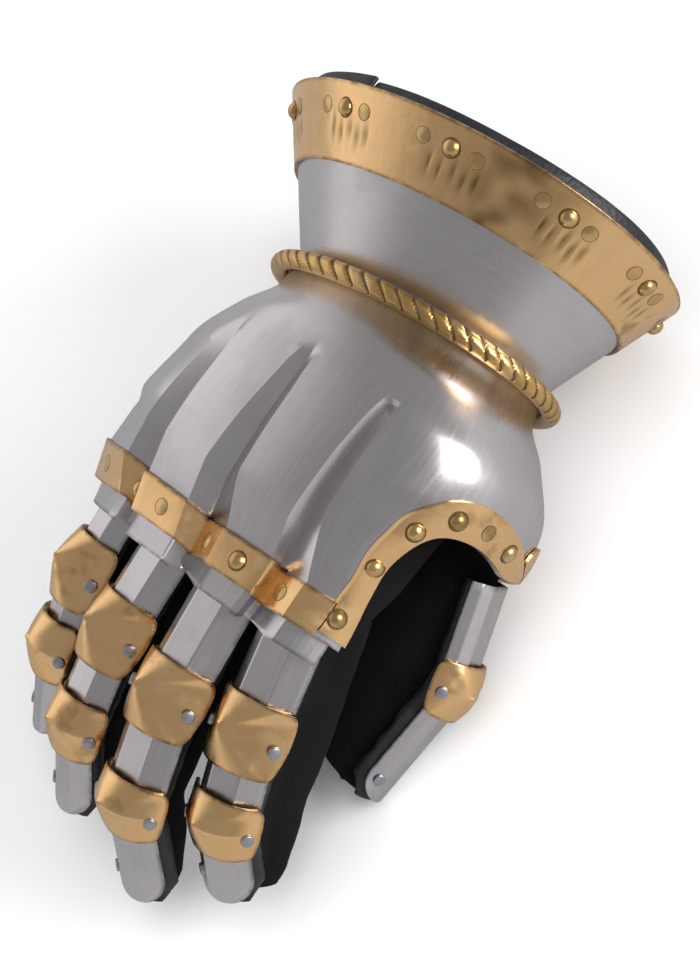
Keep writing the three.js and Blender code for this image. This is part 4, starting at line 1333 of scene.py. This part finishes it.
def glove_body_shape(u, v):
    turn = 2 * math.pi * u
    reach = mix(GLOVE_FROM, GLOVE_TO, limit(v / BODY_CLOSES))
    row = {column: curve(GLOVE_SECTIONS, "reach", reach, column) for column in ("middle", "half", "top", "palm")}
    sine, cosine = math.sin(turn), math.cos(turn)
    centre = (row["top"] + row["palm"]) / 2
    point = Vector((row["middle"] + row["half"] * math.copysign(abs(sine) ** 0.85, sine), -reach,
                    centre + (row["top"] - row["palm"]) / 2 * math.copysign(abs(cosine) ** 0.85, cosine)))
    if v > BODY_CLOSES:
        end = Vector((row["middle"], -GLOVE_TO - 0.6, centre))
        point = point.lerp(end, (v - BODY_CLOSES) / (1 - BODY_CLOSES))
    return point + Vector((0, 0, 1)) * noise.noise(point * 0.06) * 0.5


mesh = sheet(glove_body_shape, 64, 46, (0.33, 0.12), ring=True)
bmesh.ops.remove_doubles(mesh, verts=mesh.verts, dist=1e-5)
face_outwards(mesh)
glove = thicken(finished(mesh, "glove_body", suede, crease=80), LEATHER, 0)
apply_modifiers(glove)
for digit in digits:
    hollow = glove_finger("hollow", digit, digit["bag_from"] - 6, -LEATHER, 0)
    filled = bmesh.new()
    filled.from_mesh(hollow.data)
    bmesh.ops.holes_fill(filled, edges=[e for e in filled.edges if e.is_boundary])
    bmesh.ops.recalc_face_normals(filled, faces=filled.faces)
    filled.to_mesh(hollow.data)
    filled.free()
    carve(glove, hollow)
    bpy.data.objects.remove(hollow)
    bag = glove_finger(f"{digit['name']}_bag", digit, digit["bag_from"] + 5)
    belongs(thicken(bag, LEATHER, 0), "glove_leather", f"glove_{digit['name']}")
belongs(glove, "glove_leather", "glove_hand")

# %% Lining of the cuff
SEAM_AT, SEAM_STEP = rad(-14), 1.1


def lining_shape(u, v):
    angle = 2 * math.pi * u + SEAM_AT
    past = LINING_PAST_RIM / CUFF_SLANT
    neck, mouth = 0.1, 0.8
    wave = noise.noise(Vector((math.sin(angle) * 2, math.cos(angle) * 2, 0.3)))
    if v < neck:
        point = cuff_point(angle, 0, -SHEET - 0.5)
        point.y = mix(NECK_FROM, NECK_TO, v / neck)
        return point
    if v < mouth:
        return cuff_point(angle, mix(0, 0.95, (v - neck) / (mouth - neck)), -SHEET - 0.5)
    share = (v - mouth) / (1 - mouth)
    edge = 1 + past + 0.02 * wave + 0.02 * u
    return cuff_point(angle, mix(0.95, edge, share), -SHEET - 0.5 - 6 * share**1.3 - SEAM_STEP * (1 - u) * share)


mesh = sheet(lining_shape, 150, 26, (0.45, 0.07))
plate(mesh, "cuff_lining", lining_leather, "glove_leather", "glove_cuff", thickness=LEATHER, bevel=0.5, crease=60)
for tool in [o for o in bpy.context.scene.objects if o.name.endswith("_tool")]:
    bpy.data.objects.remove(tool)

# %% [markdown]
# ## Floor, light and camera
#
# Polished metal shows its surroundings more than itself, so the light matters as much as the finish: one
# wide soft window on the thumb's side, an even light on the paper, and a grey room that is paler low down and
# on the left. The camera is set by the hand: how far round it stands, how high, how far off and how tilted.


# %% Floor and room
FLOOR_TONE, FLOOR_SHADE_IN_METAL = (0.93, 0.93, 0.935), (0.42, 0.42, 0.43)


def floor_material():
    """Paper that is white to the eye and painted darker in the metal's reflections, a painted shade as where a
    table's far part is in shade.
    """
    made, tree, shader = material("paper_floor", Roughness=0.9)
    tone = use(tree, BLOTCHES, coordinates(tree), Scale=2.0, From=0.3, To=0.7)
    pale = blend_colours(tree, tone, FLOOR_TONE, (0.945, 0.945, 0.945))
    mirrored = node(tree, "ShaderNodeLightPath").outputs["Is Glossy Ray"]
    # painted shade: the paper is darker where the metal reflects it
    tree.links.new(blend_colours(tree, mirrored, pale, FLOOR_SHADE_IN_METAL), shader.inputs["Base Color"])
    return made


mesh = bmesh.new()
bmesh.ops.create_grid(mesh, x_segments=1, y_segments=1, size=3)
finished(mesh, "floor", floor_material())

world = bpy.data.worlds.new("pale_room")
bpy.context.scene.world = world
world.use_nodes = True
room = world.node_tree
way = node(room, "ShaderNodeSeparateXYZ")
room.links.new(node(room, "ShaderNodeTexCoord").outputs["Generated"], way.inputs["Vector"])
left = ranged(room, way.outputs["X"], 1.0, 0.0, -0.95, -0.45)
low = ranged(room, way.outputs["Z"], 0.55, 0.0, 0.0, 0.45)
share = sum_of(room, left, low, "MAXIMUM")
room.links.new(blend_colours(room, share, (0.31, 0.305, 0.31), (0.96, 0.95, 0.96)),
               room.nodes["Background"].inputs["Color"])


LIGHTS_AIM = Vector((0, 0, 0.05))


def lamp(name, kind, position, energy):
    light = bpy.data.lights.new(name, kind)
    light.energy = energy
    made = bpy.data.objects.new(name, light)
    made.location = position
    made.rotation_mode = "QUATERNION"
    made.rotation_quaternion = (Vector(position) - LIGHTS_AIM).to_track_quat("Z", "Y")
    bpy.context.scene.collection.objects.link(made)
    return made


window = lamp("window", "AREA", (1.45, 0.8, 0.95), 27)
window.data.shape, window.data.size, window.data.size_y = "RECTANGLE", 1.15, 1.0
paper_light = lamp("paper_light", "SUN", (0.1, -0.2, 2), 1.75)
paper_light.data.angle = rad(70)
paper_light.visible_glossy = False  # it whitens the paper without a spot in the metal

# %% Camera
CAMERA = dict(azimuth=76.95, elevation=51.85, roll=-48.05, distance=1222.76, aim=(10.74, -58.29, 0))
LENS, SENSOR = 129.36, 36.0


def set_camera():
    azimuth, elevation, roll = (rad(CAMERA[k]) for k in ("azimuth", "elevation", "roll"))
    back = Vector((math.sin(azimuth) * math.cos(elevation), -math.cos(azimuth) * math.cos(elevation),
                   math.sin(elevation)))
    level = Vector((math.cos(azimuth), math.sin(azimuth), 0))
    upright = back.cross(level)
    right = level * math.cos(roll) + upright * math.sin(roll)
    up = upright * math.cos(roll) - level * math.sin(roll)
    camera = bpy.data.objects.new("camera", bpy.data.cameras.new("camera"))
    camera.data.lens, camera.data.sensor_width = LENS, SENSOR
    camera.data.clip_start, camera.data.clip_end = 0.05, 20
    turn = LYING @ Matrix((right, up, back)).transposed()
    spot = place(Vector(CAMERA["aim"]) + back * CAMERA["distance"])
    camera.matrix_world = Matrix.Translation(spot) @ turn.to_4x4()
    bpy.context.scene.collection.objects.link(camera)
    bpy.context.scene.camera = camera
    print("camera at", [round(v, 3) for v in spot])


set_camera()
bpy.context.scene.view_settings.view_transform = "Standard"
